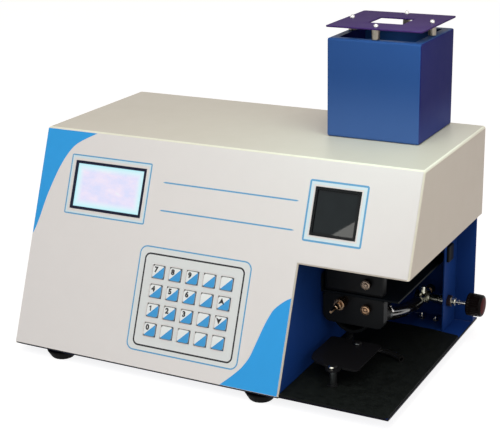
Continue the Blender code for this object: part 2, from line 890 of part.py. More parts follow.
def make_mixing_chamber():
    """Hollow round chamber open at its front, with a neck up, a hose port at its right and a ribbed drain."""
    back = chamber_length
    inner = chamber_radius - chamber_wall
    profile = [(0, 0), (chamber_radius - chamber_wall / 2, 0), (chamber_radius, -chamber_wall / 2),
               (chamber_radius, -back), (inner, -back), (inner, -chamber_wall), (0, -chamber_wall)]
    chamber = turned("mixing_chamber", profile, (chamber_x, chamber_front + back, chamber_z), (0, 1, 0))
    neck = rod("chamber_neck", (chamber_x, neck_y, chamber_z + inner + chamber_wall / 2),
               (chamber_x, neck_y, shelf_top + gap + neck_rise), neck_radius)
    drain_x = chamber_x - drain_aside
    drain_y = chamber_front + drain_back
    fall = math.sqrt((chamber_radius - chamber_wall / 2) ** 2 - drain_aside ** 2)
    pipe_z = mat_top + gap + waste_hose_radius
    length = chamber_z - fall + chamber_wall / 2 - (pipe_z - drain_radius)
    pitch = length / (drain_rib_count + 2)
    profile = [(0, 0), (drain_radius, 0)]
    for step in range(1, drain_rib_count + 1):
        profile += [(drain_radius, -step * pitch), (drain_rib_radius, -step * pitch - pitch / 8),
                    (drain_radius, -step * pitch - pitch / 2)]
    profile += [(drain_radius, -length), (0, -length)]
    drain = turned("drain_pipe", profile, (drain_x, drain_y, chamber_z - fall + chamber_wall / 2), sides=16)
    reach = Vector((math.cos(drain_heading), math.sin(drain_heading), 0)) * drain_elbow_reach
    elbow = rod("drain_elbow", (drain_x, drain_y, pipe_z), Vector((drain_x, drain_y, pipe_z)) + reach,
                drain_radius * 0.9, sides=16)
    fuse(chamber, neck, drain, elbow)
    back, ahead = hose_point(1), (hose_point(1) - hose_point(1 - overrun)).normalized()
    middle = back + ahead * (gap + port_collar_length / 2)
    fuse(chamber, rod("port_arm", (chamber_x + chamber_radius - chamber_wall / 2, middle.y, middle.z), middle,
                      port_radius, sides=16),
         rod("port_collar", back + ahead * gap, back + ahead * (gap + port_collar_length), hose_radius + gap))
    return paint(chamber, "black")


def hose_point(along):
    """Point on the gas hose's centreline, from 0 at the valve to 1 at the chamber's port."""
    start = Vector((valve_centre_x, valve_y - valve_port_reach - gap, valve_height))
    end = Vector((chamber_x + chamber_radius + port_reach, chamber_front + port_back, chamber_z - port_drop))
    ease = along ** hose_ease
    return Vector((start.x + (end.x - start.x) * ease, start.y + (end.y - start.y) * along,
                   start.z + (end.z - start.z) * ease))


def make_chamber_cover():
    left = bay_left + cover_left
    top = shelf_height - gap
    plate_back = chamber_front - gap
    corners = [(left, top - cover_plate_height, cover_edge), (left + cover_plate_width, top - cover_plate_height, cover_edge),
               (left + cover_plate_width, top, base_edge), (left, top, base_edge)]
    cover = plate("chamber_cover", rounded_outline(corners), cover_plate_thickness,
                  (0, plate_back - cover_plate_thickness / 2, 0), (math.pi / 2, 0, 0))
    bore = rod("nebuliser_bore", (nebuliser_x, shelf_front - overrun, nebuliser_z),
               (nebuliser_x, plate_back + overrun, nebuliser_z), nebuliser_spigot_radius + gap, sides=16)
    stud = rod("lower_stud_bore", (nut_x, shelf_front - overrun, lower_nut_z),
               (nut_x, shelf_front + nut_stud_length + gap, lower_nut_z), nut_stud_radius + gap, sides=12)
    return paint(cut(cover, bore, stud), "black")


def make_nebuliser():
    """Turned brass: spigot in the chamber's cover, neck, knurled nut, and the nose that draws up the sample."""
    face = chamber_front - gap - cover_plate_thickness - gap
    nut_back = nebuliser_neck_length
    nut_front = nut_back + nebuliser_nut_length
    tip = nut_front + nebuliser_nose_length
    edge = nut_edge
    profile = [(0, tip), (nebuliser_tip_radius, tip), (nebuliser_nose_radius, nut_front + edge),
               (nebuliser_nut_radius - edge, nut_front), (nebuliser_nut_radius, nut_front - edge),
               (nebuliser_nut_radius, nut_back + edge), (nebuliser_nut_radius - edge, nut_back),
               (nebuliser_neck_radius, nut_back), (nebuliser_neck_radius, 0), (nebuliser_spigot_radius, 0),
               (nebuliser_spigot_radius, -nebuliser_spigot_length), (0, -nebuliser_spigot_length)]
    return paint(turned("nebuliser", profile, (nebuliser_x, face, nebuliser_z), (0, -1, 0)), "brass")


def make_thumb_nuts():
    edge = nut_edge
    profile = [(0, nut_length), (nut_radius - edge, nut_length), (nut_radius, nut_length - edge), (nut_radius, edge),
               (nut_radius - edge, 0), (nut_stud_radius, 0), (nut_stud_radius, -nut_stud_length), (0, -nut_stud_length)]
    upper_face = shelf_front - gap
    lower_face = chamber_front - gap - cover_plate_thickness - gap
    for name, y, z in (("upper_thumb_nut", upper_face, upper_nut_z), ("lower_thumb_nut", lower_face, lower_nut_z)):
        paint(turned(name, profile, (nut_x, y, z), (0, -1, 0), sides=18), "brass")


def make_valve():
    """Needle valve: body and ports left of the plate, neck through it, and the nut on its right side."""
    body = rod("valve_body", (valve_centre_x - valve_body_length / 2, valve_y, valve_height),
               (valve_centre_x + valve_body_length / 2, valve_y, valve_height), valve_body_radius, sides=6)
    neck_end = valve_plate_right + gap + valve_nut_length
    neck = rod("valve_neck", (valve_centre_x, valve_y, valve_height), (neck_end, valve_y, valve_height),
               valve_bonnet_radius)
    shoulder = rod("valve_shoulder", (valve_plate_left - gap - valve_collar_length, valve_y, valve_height),
                   (valve_plate_left - gap, valve_y, valve_height), valve_collar_radius)
    nut = rod("valve_nut", (valve_plate_right + gap, valve_y, valve_height),
              (valve_plate_right + gap + valve_nut_length / 2, valve_y, valve_height), valve_nut_radius, sides=6)
    cap = rod("valve_cap", (valve_centre_x, valve_y, valve_height),
              (valve_centre_x, valve_y, valve_height + valve_cap_rise), valve_cap_radius, sides=16)
    port = rod("valve_port", (valve_centre_x, valve_y, valve_height),
               (valve_centre_x, valve_y - valve_port_reach, valve_height), valve_port_radius, sides=16)
    collar = rod("port_collar", (valve_centre_x, valve_y - valve_body_radius, valve_height),
                 (valve_centre_x, valve_y - valve_body_radius - valve_collar_length, valve_height),
                 valve_collar_radius, sides=6)
    supply = rod("supply_port", (valve_centre_x, valve_y, valve_height),
                 (valve_centre_x, back_wall_front - gap - nipple_back_length, valve_height), valve_port_radius, sides=16)
    fuse(body, neck, shoulder, nut, cap, port, collar, supply)
    bore = rod("spindle_bore", (neck_end - spindle_depth - gap, valve_y, valve_height),
               (neck_end + overrun, valve_y, valve_height), spindle_radius + gap, sides=16)
    return paint(cut(body, bore), "brass")


def make_knob():
    """Knob with a grooved rim on the valve's spindle, and a low round cap on its end; it turns about X."""
    neck_end = valve_plate_right + gap + valve_nut_length
    start = neck_end - spindle_depth - knob_start
    edge, rim = knob_edge, knob_radius
    shoulder = knob_length - knob_cap_dome
    corner = knob_round * (1 - math.sqrt(0.5))
    profile = [(0, knob_length), (knob_cap_radius * 0.7, knob_length - knob_cap_dome / 3), (knob_cap_radius, shoulder),
               (rim - knob_round, shoulder), (rim - corner, shoulder - corner), (rim, shoulder - knob_round),
               (rim + knob_skirt, edge), (rim - edge, 0), (spindle_radius, 0), (spindle_radius, start), (0, start)]
    knob = turned("gas_knob", profile, (knob_start, valve_y, valve_height), (1, 0, 0), sides=36)
    reach = knob_length - knob_groove_inset - edge
    for step in range(knob_groove_count):
        turn = 2 * math.pi * step / knob_groove_count
        y = valve_y + (rim + knob_groove_radius / 3) * math.cos(turn)
        z = valve_height + (rim + knob_groove_radius / 3) * math.sin(turn)
        cut(knob, rod("knob_groove", (knob_start + knob_length / 4, y, z), (knob_start + reach, y, z),
                      knob_groove_radius, sides=6))
    return paint(knob, "knob")


def make_hoses():
    """Gas hose from the valve to the mixing chamber, and the short waste hose that lies on the mat."""
    points = [hose_point(step / (hose_points - 1)) for step in range(hose_points)]
    paint(tube("gas_hose", points, hose_radius), "hose")
    reach = drain_elbow_reach + gap
    start = Vector((chamber_x - drain_aside + reach * math.cos(drain_heading),
                    chamber_front + drain_back + reach * math.sin(drain_heading), mat_top + gap + waste_hose_radius))
    centre = start + Vector((math.sin(drain_heading), -math.cos(drain_heading), 0)) * waste_hose_bend
    points = []
    for step in range(waste_hose_points):
        turn = math.pi / 2 + drain_heading - waste_hose_sweep * step / (waste_hose_points - 1)
        points.append(centre + Vector((math.cos(turn), math.sin(turn), 0)) * waste_hose_bend)
    paint(tube("drain_hose", points, waste_hose_radius, resolution=2), "hose")


def make_sample_table():
    """Low table on two pillars, with a round lug for the front pillar's screw."""
    left = bay_left + table_left
    right = left + table_width
    back = table_front + table_length
    low = mat_top + gap + table_height
    outline = rounded_outline([(left, table_front, table_round), (right, table_front, table_corner),
                               (right, back, table_corner), (left, back, table_corner)])
    table = plate("sample_table", outline, table_thickness, (0, 0, low + table_thickness / 2))
    lug_x, lug_y = bay_left + table_lug_offset + table_lug_reach * 2, table_front - table_lug_reach
    top = low + table_thickness
    foot = mat_top + gap
    lug = rod("table_lug", (lug_x, lug_y, low), (lug_x, lug_y, top), table_lug_radius)
    fuse(table, lug)
    for x, y in ((lug_x, lug_y), (lug_x, back - table_lug_radius)):
        profile = [(0, top + table_screw_height), (table_screw_radius * 0.7, top + table_screw_height),
                   (table_screw_radius, top + table_screw_height / 2), (table_screw_radius, low + table_thickness / 2),
                   (pillar_radius, low + table_thickness / 4), (pillar_radius, foot + pillar_foot_height),
                   (pillar_foot_radius, foot + pillar_foot_height / 2), (pillar_foot_radius, foot), (0, foot)]
        fuse(table, turned("pillar", profile, (x, y, 0), sides=16))
    return paint(table, "black")


def make_display():
    bezel = panel_box("lcd_bezel", lcd_left, lcd_top, lcd_width, lcd_height, key_flange_top - lcd_flange_thickness / 2,
                      overlay_top + lcd_proud)
    flange = panel_box("lcd_bezel_flange", lcd_left - lcd_flange, lcd_top - lcd_flange, lcd_width + 2 * lcd_flange,
                       lcd_height + 2 * lcd_flange, key_flange_top - lcd_flange_thickness, key_flange_top)
    hole = panel_box("lcd_window", lcd_left + lcd_band, lcd_top + lcd_band, lcd_width - 2 * lcd_band,
                     lcd_height - 2 * lcd_band, -sheet - 2 * overrun, 2 * overrun)
    paint(cut(fuse(bezel, flange), hole), "black")
    back = key_flange_top - lcd_flange_thickness - gap
    border = lcd_flange + lcd_module_border
    module = panel_box("lcd_module", lcd_left - border, lcd_top - border, lcd_width + 2 * border,
                       lcd_height + 2 * border, back - lcd_module_depth, back)
    inset = lcd_band + gap
    glass = panel_box("lcd_glass", lcd_left + inset, lcd_top + inset, lcd_width - 2 * inset, lcd_height - 2 * inset,
                      back - overrun, -lcd_sink)
    paint(fuse(module, glass), "screen")


def make_window():
    frame = panel_box("window_frame", window_left, window_top, window_width, window_height,
                      key_flange_top - window_flange_thickness / 2, overlay_top + window_proud)
    flange = panel_box("window_frame_flange", window_left - window_flange, window_top - window_flange,
                       window_width + 2 * window_flange, window_height + 2 * window_flange,
                       key_flange_top - window_flange_thickness, key_flange_top)
    hole = panel_box("window_hole", window_left + window_band, window_top + window_band,
                     window_width - 2 * window_band, window_height - 2 * window_band, -sheet - 2 * overrun, 2 * overrun)
    paint(cut(fuse(frame, flange), hole), "black")
    back = key_flange_top - window_flange_thickness - gap
    pane = panel_box("window_glass", window_left - window_glass_border, window_top - window_glass_border,
                     window_width + 2 * window_glass_border, window_height + 2 * window_glass_border,
                     back - window_glass_thickness, back)
    inset = window_band + gap
    raised = panel_box("window_pane", window_left + inset, window_top + inset, window_width - 2 * inset,
                       window_height - 2 * inset, back - window_glass_thickness / 2, 0)
    paint(fuse(pane, raised), "smoked")


def key_mesh():
    """Square key: a flange that stops it behind the panel, and a cap with rounded corners and top edge."""
    low, foot, top = key_flange_bottom, key_flange_top, overlay_top + key_proud
    edge = key_edge
    levels = [(key_flange, low), (key_flange, foot), (0, foot), (0, top - edge / 2), (-edge / 3, top - edge / 6),
              (-edge, top)]
    shape = bmesh.new()
    rings = []
    for grow, height in levels:
        wide, tall, radius = key_width / 2 + grow, key_height / 2 + grow, key_corner + grow
        outline = rounded_outline([(-wide, -tall, radius), (wide, -tall, radius), (wide, tall, radius),
                                   (-wide, tall, radius)], key_arc_steps)
        rings.append([shape.verts.new((*point, height)) for point in outline])
    for below, above in zip(rings, rings[1:]):
        for index in range(len(below)):
            after = (index + 1) % len(below)
            shape.faces.new((below[index], below[after], above[after], above[index]))
    shape.faces.new(rings[0][::-1])
    shape.faces.new(rings[-1])
    mesh = bpy.data.meshes.new("key")
    shape.to_mesh(mesh)
    shape.free()
    return mesh


def make_keys():
    mesh = key_mesh()
    for row, names in enumerate(key_names):
        for column, name in enumerate(names):
            x, y = key_place(row, column)
            paint(add(name, mesh, panel, (x, y, 0)), "key")


def make_main_board():
    """Board behind the keys, on four posts, with its larger components on the back."""
    left, top = key_left - board_border, key_top - board_border
    width = (key_columns - 1) * key_pitch_across + key_width + 2 * board_border
    height = (key_rows - 1) * key_pitch_down + key_height + 2 * board_border
    board = panel_box("main_board", left, top, width, height, board_front - board_thickness, board_front)
    inset = board_post_inset
    for x in (left + inset, left + width - inset):
        for y in (-top - inset, -top - height + inset):
            fuse(board, rod("board_post", (x, y, board_front - board_thickness / 2), (x, y, -sheet - gap),
                            board_post_radius, sides=12, parent=panel))
    back = board_front - board_thickness
    for x_low, y_low, x_high, y_high in chip_shares:
        fuse(board, box("chip", (left + width * x_low, -top - height * y_high, back - chip_height),
                        (left + width * x_high, -top - height * y_low, back + board_thickness / 2), panel))
    return paint(board, "board")


def make_optics():
    """Block with the lens that faces the flame, filter slot on top, on the compartment's wall."""
    right = bay_left - gap - sheet - gap
    half_depth, half_height = optics_depth / 2, optics_height / 2
    block = box("optics_block", (right - optics_width, flame_y - half_depth, flame_height - half_height),
                (right, flame_y + half_depth, flame_height + half_height))
    round_edges(block, optics_edge, 1)
    lens = rod("lens", (right - optics_edge, flame_y, flame_height), (right + lens_reach, flame_y, flame_height), lens_radius)
    slot = box("filter_slot", (right - optics_width / 2, flame_y - half_depth / 2, flame_height + half_height - filter_slot_depth),
               (right - optics_width / 2 + filter_slot_width, flame_y + half_depth / 2, flame_height + half_height + overrun))
    return paint(cut(fuse(block, lens), slot), "black")


def make_power_supply():
    """Mains transformer: laminated core with the winding through it, on two feet."""
    back = rear_front - transformer_back
    low = floor_top + gap
    core = box("power_supply", (transformer_left, back - transformer_depth, low),
               (transformer_left + transformer_width, back, low + transformer_height))
    middle = transformer_width / 2
    winding = box("winding", (transformer_left + middle - transformer_core, back - transformer_depth - transformer_foot,
                              low + transformer_foot),
                  (transformer_left + middle + transformer_core, back + transformer_foot,
                   low + transformer_height - transformer_foot))
    foot = box("transformer_feet", (transformer_left - transformer_foot, back - transformer_depth * 0.75, low),
               (transformer_left + transformer_width + transformer_foot, back - transformer_depth * 0.25, low + 2 * sheet))
    round_edges(winding, transformer_foot / 4)
    return paint(fuse(core, winding, foot), "steel")


def make_mains_inlet():
    """Inlet socket with its three pins above a place for the rocker switch, in one moulding."""
    face = rear_front + sheet
    left, right = inlet_left, inlet_left + inlet_width
    low, high = inlet_bottom, inlet_bottom + inlet_height
    out = face + gap + inlet_flange_thickness
    body = box("mains_inlet", (left, face - inlet_depth, low), (right, out, high))
    flange = box("inlet_flange", (left - inlet_flange, face + gap, low - inlet_flange), (right + inlet_flange, out, high + inlet_flange))
    fuse(body, flange)
    middle = (left + right) / 2
    socket_low = low + socket_margin
    socket = box("socket", (middle - socket_width / 2, out - socket_depth, socket_low),
                 (middle + socket_width / 2, out + overrun, socket_low + socket_height))
    cut(body, socket)
    for step in (-1, 0, 1):
        x = middle + step * pin_pitch
        z = socket_low + socket_height / 2 + (pin_height / 2 if step == 0 else 0)
        fuse(body, box("pin", (x - pin_width / 2, out - socket_depth - overrun / 2, z - pin_height / 2),
                       (x + pin_width / 2, out - socket_depth + pin_length, z + pin_height / 2)))
    room = rocker_room
    pocket = box("rocker_pocket", (middle - rocker_width / 2 - gap, out - rocker_depth, rocker_z - rocker_height / 2 - room),
                 (middle + rocker_width / 2 + gap, out + overrun, rocker_z + rocker_height / 2 + room))
    return paint(cut(body, pocket), "black")


def make_power_switch():
    """Rocker with two flat faces that meet at a shallow angle; it turns about X and rests pressed at its lower end."""
    half = rocker_height / 2
    outline = [(half, rocker_rise), (0, rocker_rise - half * math.tan(rocker_angle)), (-half, rocker_rise),
               (-half * rocker_taper, -rocker_sink), (half * rocker_taper, -rocker_sink)]
    turned_outline = [(x * math.cos(rocker_angle) - y * math.sin(rocker_angle),
                       x * math.sin(rocker_angle) + y * math.cos(rocker_angle)) for x, y in outline]
    place = (inlet_left + inlet_width / 2, rocker_pivot_y, rocker_z)
    return paint(plate("power_switch", turned_outline, rocker_width, place, (0, -math.pi / 2, 0)), "black")


def make_nipple(name, x, y, z, inner_length):
    """Hose nipple through a panel: nut outside, three barbs, thread inside."""
    nut = nipple_nut_length
    reach = rear_reach - y
    profile = [(0, reach), (nipple_radius * 0.8, reach)]
    for step in range(nipple_barb_count):
        height = reach - step * nipple_barb_pitch
        profile += [(nipple_barb_radius, height - nipple_barb_pitch * 0.7), (nipple_radius, height - nipple_barb_pitch * 0.8)]
    profile += [(nipple_radius, gap + nut), (nipple_nut_radius, gap + nut), (nipple_nut_radius, gap),
                (nipple_thread_radius, gap), (nipple_thread_radius, -inner_length), (0, -inner_length)]
    return paint(turned(name, profile, (x, y, z), (0, 1, 0), sides=18), "brass")


clear_scene()
parts = new_collection("flame_photometer")
cutters = new_collection("cutters")
case = new_empty("case_frame", (-knob_end / 2, (front_reach - rear_reach) / 2, -foot_bottom), (0, 0, 0), None)
panel = new_empty("panel_frame", (0, 0, case_height), (math.pi / 2 - lean, 0, 0), case)

openings = panel_cutters()
make_cover(openings)
make_overlay(openings)
make_chassis()
make_bay_walls()
make_rear_panel()
make_valve_plate()
make_mat()
make_feet()
make_chimney()
make_heat_shield()
make_burner()
make_burner_support()
make_mixing_chamber()
make_chamber_cover()
make_nebuliser()
make_thumb_nuts()
make_valve()
make_knob()
make_hoses()
make_sample_table()
make_display()
make_window()
make_keys()
make_main_board()
make_optics()
make_power_supply()
make_mains_inlet()
make_power_switch()
make_nipple("air_inlet", air_left, rear_front + sheet, air_height, sheet + nipple_back_length)
make_nipple("gas_inlet", valve_centre_x, back_wall_front + sheet, valve_height, sheet + nipple_back_length)
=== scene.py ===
import bmesh
import bpy
import math
from mathutils import Matrix, Vector


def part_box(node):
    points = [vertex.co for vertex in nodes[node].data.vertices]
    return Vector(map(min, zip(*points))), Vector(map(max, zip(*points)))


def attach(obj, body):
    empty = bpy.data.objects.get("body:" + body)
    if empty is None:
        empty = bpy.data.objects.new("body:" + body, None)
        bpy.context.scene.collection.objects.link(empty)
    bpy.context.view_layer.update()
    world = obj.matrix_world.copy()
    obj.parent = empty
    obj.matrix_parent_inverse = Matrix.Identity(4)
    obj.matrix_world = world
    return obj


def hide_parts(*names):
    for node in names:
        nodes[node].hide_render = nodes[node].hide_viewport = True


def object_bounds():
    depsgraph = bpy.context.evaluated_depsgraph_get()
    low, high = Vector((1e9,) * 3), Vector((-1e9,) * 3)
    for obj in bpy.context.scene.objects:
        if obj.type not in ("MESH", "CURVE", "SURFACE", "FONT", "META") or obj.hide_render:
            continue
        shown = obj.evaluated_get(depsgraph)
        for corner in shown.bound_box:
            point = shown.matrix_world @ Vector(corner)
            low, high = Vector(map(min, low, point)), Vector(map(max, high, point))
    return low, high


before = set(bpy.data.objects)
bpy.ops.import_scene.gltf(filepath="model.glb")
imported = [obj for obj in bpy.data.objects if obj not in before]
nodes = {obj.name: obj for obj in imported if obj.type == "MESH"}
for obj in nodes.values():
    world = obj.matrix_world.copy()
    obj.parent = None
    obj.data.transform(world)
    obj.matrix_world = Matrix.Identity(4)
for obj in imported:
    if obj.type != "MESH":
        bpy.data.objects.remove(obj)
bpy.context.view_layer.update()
print("frame loaded with", len(nodes), "nodes")

mm = 0.001
case = {"depth": 182.0, "height": 215.0, "lean": 21.3, "bayLeft": 309.0}
coverLow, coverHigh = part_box("cover")
caseOrigin = Vector((coverLow.x, coverHigh.y - case["depth"] * mm, coverLow.z))
panelMatrix = (Matrix.Translation(caseOrigin + Vector((0, 0, case["height"] * mm)))
               @ Matrix.Rotation(math.radians(90 - case["lean"]), 4, "X"))
squareCorners = ((-1, -1), (1, -1), (1, 1), (-1, 1))


def casePoint(x, y, z):
    # a place in the case's own millimetres
    return caseOrigin + Vector((x, y, z)) * mm


def caseMatrix(x, y, z, facing=(0, 0, 1)):
    # local Z turned to the way the piece faces, at a place in the case
    turn = Vector((0, 0, 1)).rotation_difference(Vector(facing)).to_matrix().to_4x4()
    return Matrix.Translation(casePoint(x, y, z)) @ turn


def boxOf(name):
    # a node's box in the case's own millimetres
    low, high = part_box(name)
    return (low - caseOrigin) / mm, (high - caseOrigin) / mm


# node helpers

def addNode(tree, kind, inputs=None, **settings):
    # a node with its settings; an input takes a value, another node's socket, or a list of sockets
    node = tree.nodes.new(kind)
    for label, value in settings.items():
        setattr(node, label, value)
    for label, value in (inputs or {}).items():
        if isinstance(value, bpy.types.NodeSocket):
            tree.links.new(value, node.inputs[label])
        elif isinstance(value, list):
            for socket in value:
                tree.links.new(socket, node.inputs[label])
        else:
            node.inputs[label].default_value = value
    return node


def mathNode(tree, operation, *values):
    return addNode(tree, "ShaderNodeMath", dict(enumerate(values)), operation=operation).outputs[0]


def vectorNode(tree, operation, inputs, output="Vector"):
    return addNode(tree, "ShaderNodeVectorMath", inputs, operation=operation).outputs[output]


def splitNode(tree, vector):
    return addNode(tree, "ShaderNodeSeparateXYZ", {0: vector}).outputs


def noiseNode(tree, vector, scale, detail=2.0, rough=0.5):
    noise = addNode(tree, "ShaderNodeTexNoise", {"Vector": vector, "Scale": scale, "Detail": detail,
                                                 "Roughness": rough})
    return noise.outputs["Fac"]


def spreadNode(tree, value, low, high, kind="LINEAR"):
    # zero at the low value and one at the high one
    spread = addNode(tree, "ShaderNodeMapRange", {"Value": value, "From Min": low, "From Max": high},
                     interpolation_type=kind)
    return spread.outputs["Result"]


def mixNode(tree, factor, first, second, blend="MIX"):
    mix = addNode(tree, "ShaderNodeMix", data_type="RGBA", blend_type=blend)
    for label, value in (("Factor", factor), ("A", first), ("B", second)):
        if isinstance(value, bpy.types.NodeSocket):
            tree.links.new(value, mix.inputs[label])
        else:
            mix.inputs[label].default_value = value
    return mix.outputs["Result"]


def dimNode(tree, colour, value):
    # colour times a number
    grey = addNode(tree, "ShaderNodeCombineColor", {0: value, 1: value, 2: value})
    return mixNode(tree, 1.0, colour, grey.outputs[0], "MULTIPLY")


def tintNode(tree, colour, amount, bright):
    # colour times one plus amount times bright
    return dimNode(tree, colour, mathNode(tree, "MULTIPLY_ADD", bright, amount, 1.0))


def rampNode(tree, factor, stops):
    ramp = addNode(tree, "ShaderNodeValToRGB", {0: factor})
    marks = ramp.color_ramp.elements
    marks[0].position, marks[1].position = stops[0][0], stops[-1][0]
    marks[0].color, marks[1].color = (*stops[0][1], 1), (*stops[-1][1], 1)
    for position, colour in stops[1:-1]:
        marks.new(position).color = (*colour, 1)
    return ramp.outputs["Color"]


def objectSpot(tree):
    return addNode(tree, "ShaderNodeTexCoord").outputs["Object"]


def newTree(name, kind, inputs, outputs):
    tree = bpy.data.node_groups.new(name, kind)
    for way, sockets in (("INPUT", inputs), ("OUTPUT", outputs)):
        for label, socketKind, value in sockets:
            socket = tree.interface.new_socket(name=label, in_out=way, socket_type="NodeSocket" + socketKind)
            if value is not None:
                socket.default_value = value
    return tree, tree.nodes.new("NodeGroupInput"), tree.nodes.new("NodeGroupOutput")


def emptyMaterial(name):
    material = bpy.data.materials.new(name)
    material.use_nodes = True
    material.node_tree.nodes.clear()
    return material, material.node_tree


# camera, floor and light

shot = {
    "azimuth": 27.667, "elevation": 18.249, "roll": -1.072, "place": (786.5, -1044.7, 536.8), "lens": 90.24,
    "sensor": 36,
}
studio = {
    "world": 0.42, "worldTurn": 0.8,
    "front": (0.96, 0.98, 1.0), "back": (1.0, 0.86, 0.78),
    "target": (210, 20, 110),
    "lamps": {
        "keyLamp": {"place": (350, -1000, 1200), "size": 0.9, "power": 8.5, "colour": (1.0, 0.985, 0.975)},
        "topLamp": {"place": (600, -250, 1700), "size": 1.2, "power": 5.5, "colour": (1.0, 0.925, 0.78)},
        "lidLamp": {"place": (412, -10, 420), "size": 0.15, "power": 0.28, "colour": (0.70, 1.0, 0.94)},
        "sideLamp": {"place": (1900, -500, 500), "size": 1.2, "power": 3.9, "colour": (1.0, 0.75, 0.72)},
    },
    "floorSize": 14.0, "floorGlow": 0.86, "floorShade": (0.34, 0.34, 0.34),
    "floorColour": (0.75, 0.74, 0.73),
    "glint": {"corners": ((333.0, 74.0), (366.0, 74.0), (366.0, 50.0)), "away": 0.12, "glow": 9.0,
              "colour": (1.0, 0.98, 0.92)},
}


def makeCamera():
    azimuth, elevation, roll = (math.radians(shot[key]) for key in ("azimuth", "elevation", "roll"))
    level = math.cos(elevation)
    back = Vector((math.sin(azimuth) * level, -math.cos(azimuth) * level, math.sin(elevation)))
    right = Vector((math.cos(azimuth), math.sin(azimuth), 0))
    up = back.cross(right)
    rolledRight = math.cos(roll) * right + math.sin(roll) * up
    rolledUp = -math.sin(roll) * right + math.cos(roll) * up
    camera = bpy.data.objects.new("camera", bpy.data.cameras.new("camera"))
    turn = Matrix((rolledRight, rolledUp, back)).transposed().to_4x4()
    camera.matrix_world = Matrix.Translation(casePoint(*shot["place"])) @ turn
    camera.data.lens = shot["lens"]
    camera.data.sensor_width = shot["sensor"]
    camera.data.sensor_fit = "HORIZONTAL"
    camera.data.clip_end = 100
    bpy.context.scene.collection.objects.link(camera)
    bpy.context.scene.camera = camera


def seenRay(tree):
    # one for a ray from the camera, straight or by gloss or through glass
    ways = addNode(tree, "ShaderNodeLightPath").outputs
    seen = ways["Is Camera Ray"]
    for label in ("Is Glossy Ray", "Is Transmission Ray"):
        seen = mathNode(tree, "MAXIMUM", seen, ways[label])
    return seen


def makeFloor():
    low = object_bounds()[0]
    half = studio["floorSize"] / 2
    mesh = bpy.data.meshes.new("floor")
    mesh.from_pydata([(x * half, y * half, low[2]) for x, y in squareCorners], [], [(0, 1, 2, 3)])
    paper, tree = emptyMaterial("paleFloor")
    white = addNode(tree, "ShaderNodeEmission", {"Strength": studio["floorGlow"]})
    shaded = addNode(tree, "ShaderNodeBsdfDiffuse", {"Color": (*studio["floorShade"], 1)})
    both = addNode(tree, "ShaderNodeAddShader", {0: white.outputs[0], 1: shaded.outputs[0]})
    plain = addNode(tree, "ShaderNodeBsdfDiffuse", {"Color": (*studio["floorColour"], 1)})
    pick = addNode(tree, "ShaderNodeMixShader", {0: seenRay(tree), 1: plain.outputs[0], 2: both.outputs[0]})
    addNode(tree, "ShaderNodeOutputMaterial", {"Surface": pick.outputs[0]})
    mesh.materials.append(paper)
    floor = bpy.data.objects.new("floor", mesh)
    bpy.context.scene.collection.objects.link(floor)


def makeWorld():
    # soft light, cool from the front and warm from behind; plain white where the camera sees it
    world = bpy.data.worlds.new("studio")
    bpy.context.scene.world = world
    world.use_nodes = True
    tree = world.node_tree
    tree.nodes.clear()
    way = splitNode(tree, addNode(tree, "ShaderNodeTexCoord").outputs["Generated"])["Y"]
    share = spreadNode(tree, way, -studio["worldTurn"], studio["worldTurn"])
    tint = mixNode(tree, share, (*studio["front"], 1), (*studio["back"], 1))
    soft = addNode(tree, "ShaderNodeBackground", {"Color": tint, "Strength": studio["world"]})
    plain = addNode(tree, "ShaderNodeBackground", {"Color": (1, 1, 1, 1), "Strength": 1.0})
    pick = addNode(tree, "ShaderNodeMixShader", {0: seenRay(tree), 1: soft.outputs[0], 2: plain.outputs[0]})
    addNode(tree, "ShaderNodeOutputWorld", {"Surface": pick.outputs[0]})


def makeLamps():
    target = casePoint(*studio["target"])
    for name, lamp in studio["lamps"].items():
        light = bpy.data.lights.new(name, "AREA")
        light.shape = "RECTANGLE"
        light.size = lamp["size"]
        light.size_y = lamp["size"]
        light.energy = lamp["power"]
        light.color = lamp["colour"]
        holder = bpy.data.objects.new(name, light)
        holder.visible_camera = False
        place = casePoint(*lamp["place"])
        turn = (place - target).to_track_quat("Z", "Y").to_matrix().to_4x4()
        holder.matrix_world = Matrix.Translation(place) @ turn
        bpy.context.scene.collection.objects.link(holder)


def makeGlint():
    # pale card that only the window mirrors, in its lower right corner, as seen from the camera
    glint = studio["glint"]
    camera = casePoint(*shot["place"])
    normal = (panelMatrix.to_3x3() @ Vector((0, 0, 1))).normalized()
    corners = []
    for x, down in glint["corners"]:
        spot = panelMatrix @ Vector((x * mm, -down * mm, 0))
        ray = (spot - camera).normalized()
        corners.append(spot + (ray - 2 * ray.dot(normal) * normal) * glint["away"])
    mesh = bpy.data.meshes.new("glint")
    mesh.from_pydata(corners, [], [(0, 2, 1)])
    pale, tree = emptyMaterial("paleCard")
    glow = addNode(tree, "ShaderNodeEmission", {"Color": (*glint["colour"], 1), "Strength": glint["glow"]})
    addNode(tree, "ShaderNodeOutputMaterial", {"Surface": glow.outputs[0]})
    mesh.materials.append(pale)
    card = bpy.data.objects.new("glint", mesh)
    bpy.context.scene.collection.objects.link(card)
    card.visible_camera = False
    card.visible_diffuse = False
    card.visible_shadow = False
    card.visible_transmission = False


makeCamera()
makeFloor()
makeWorld()
makeLamps()
makeGlint()
bpy.context.scene.view_settings.view_transform = "Standard"
print("camera, floor and light are set")


# shared effects, each a node group

effectOutputs = [("Colour", "Color", None), ("Roughness", "Float", None), ("Height", "Float", None)]
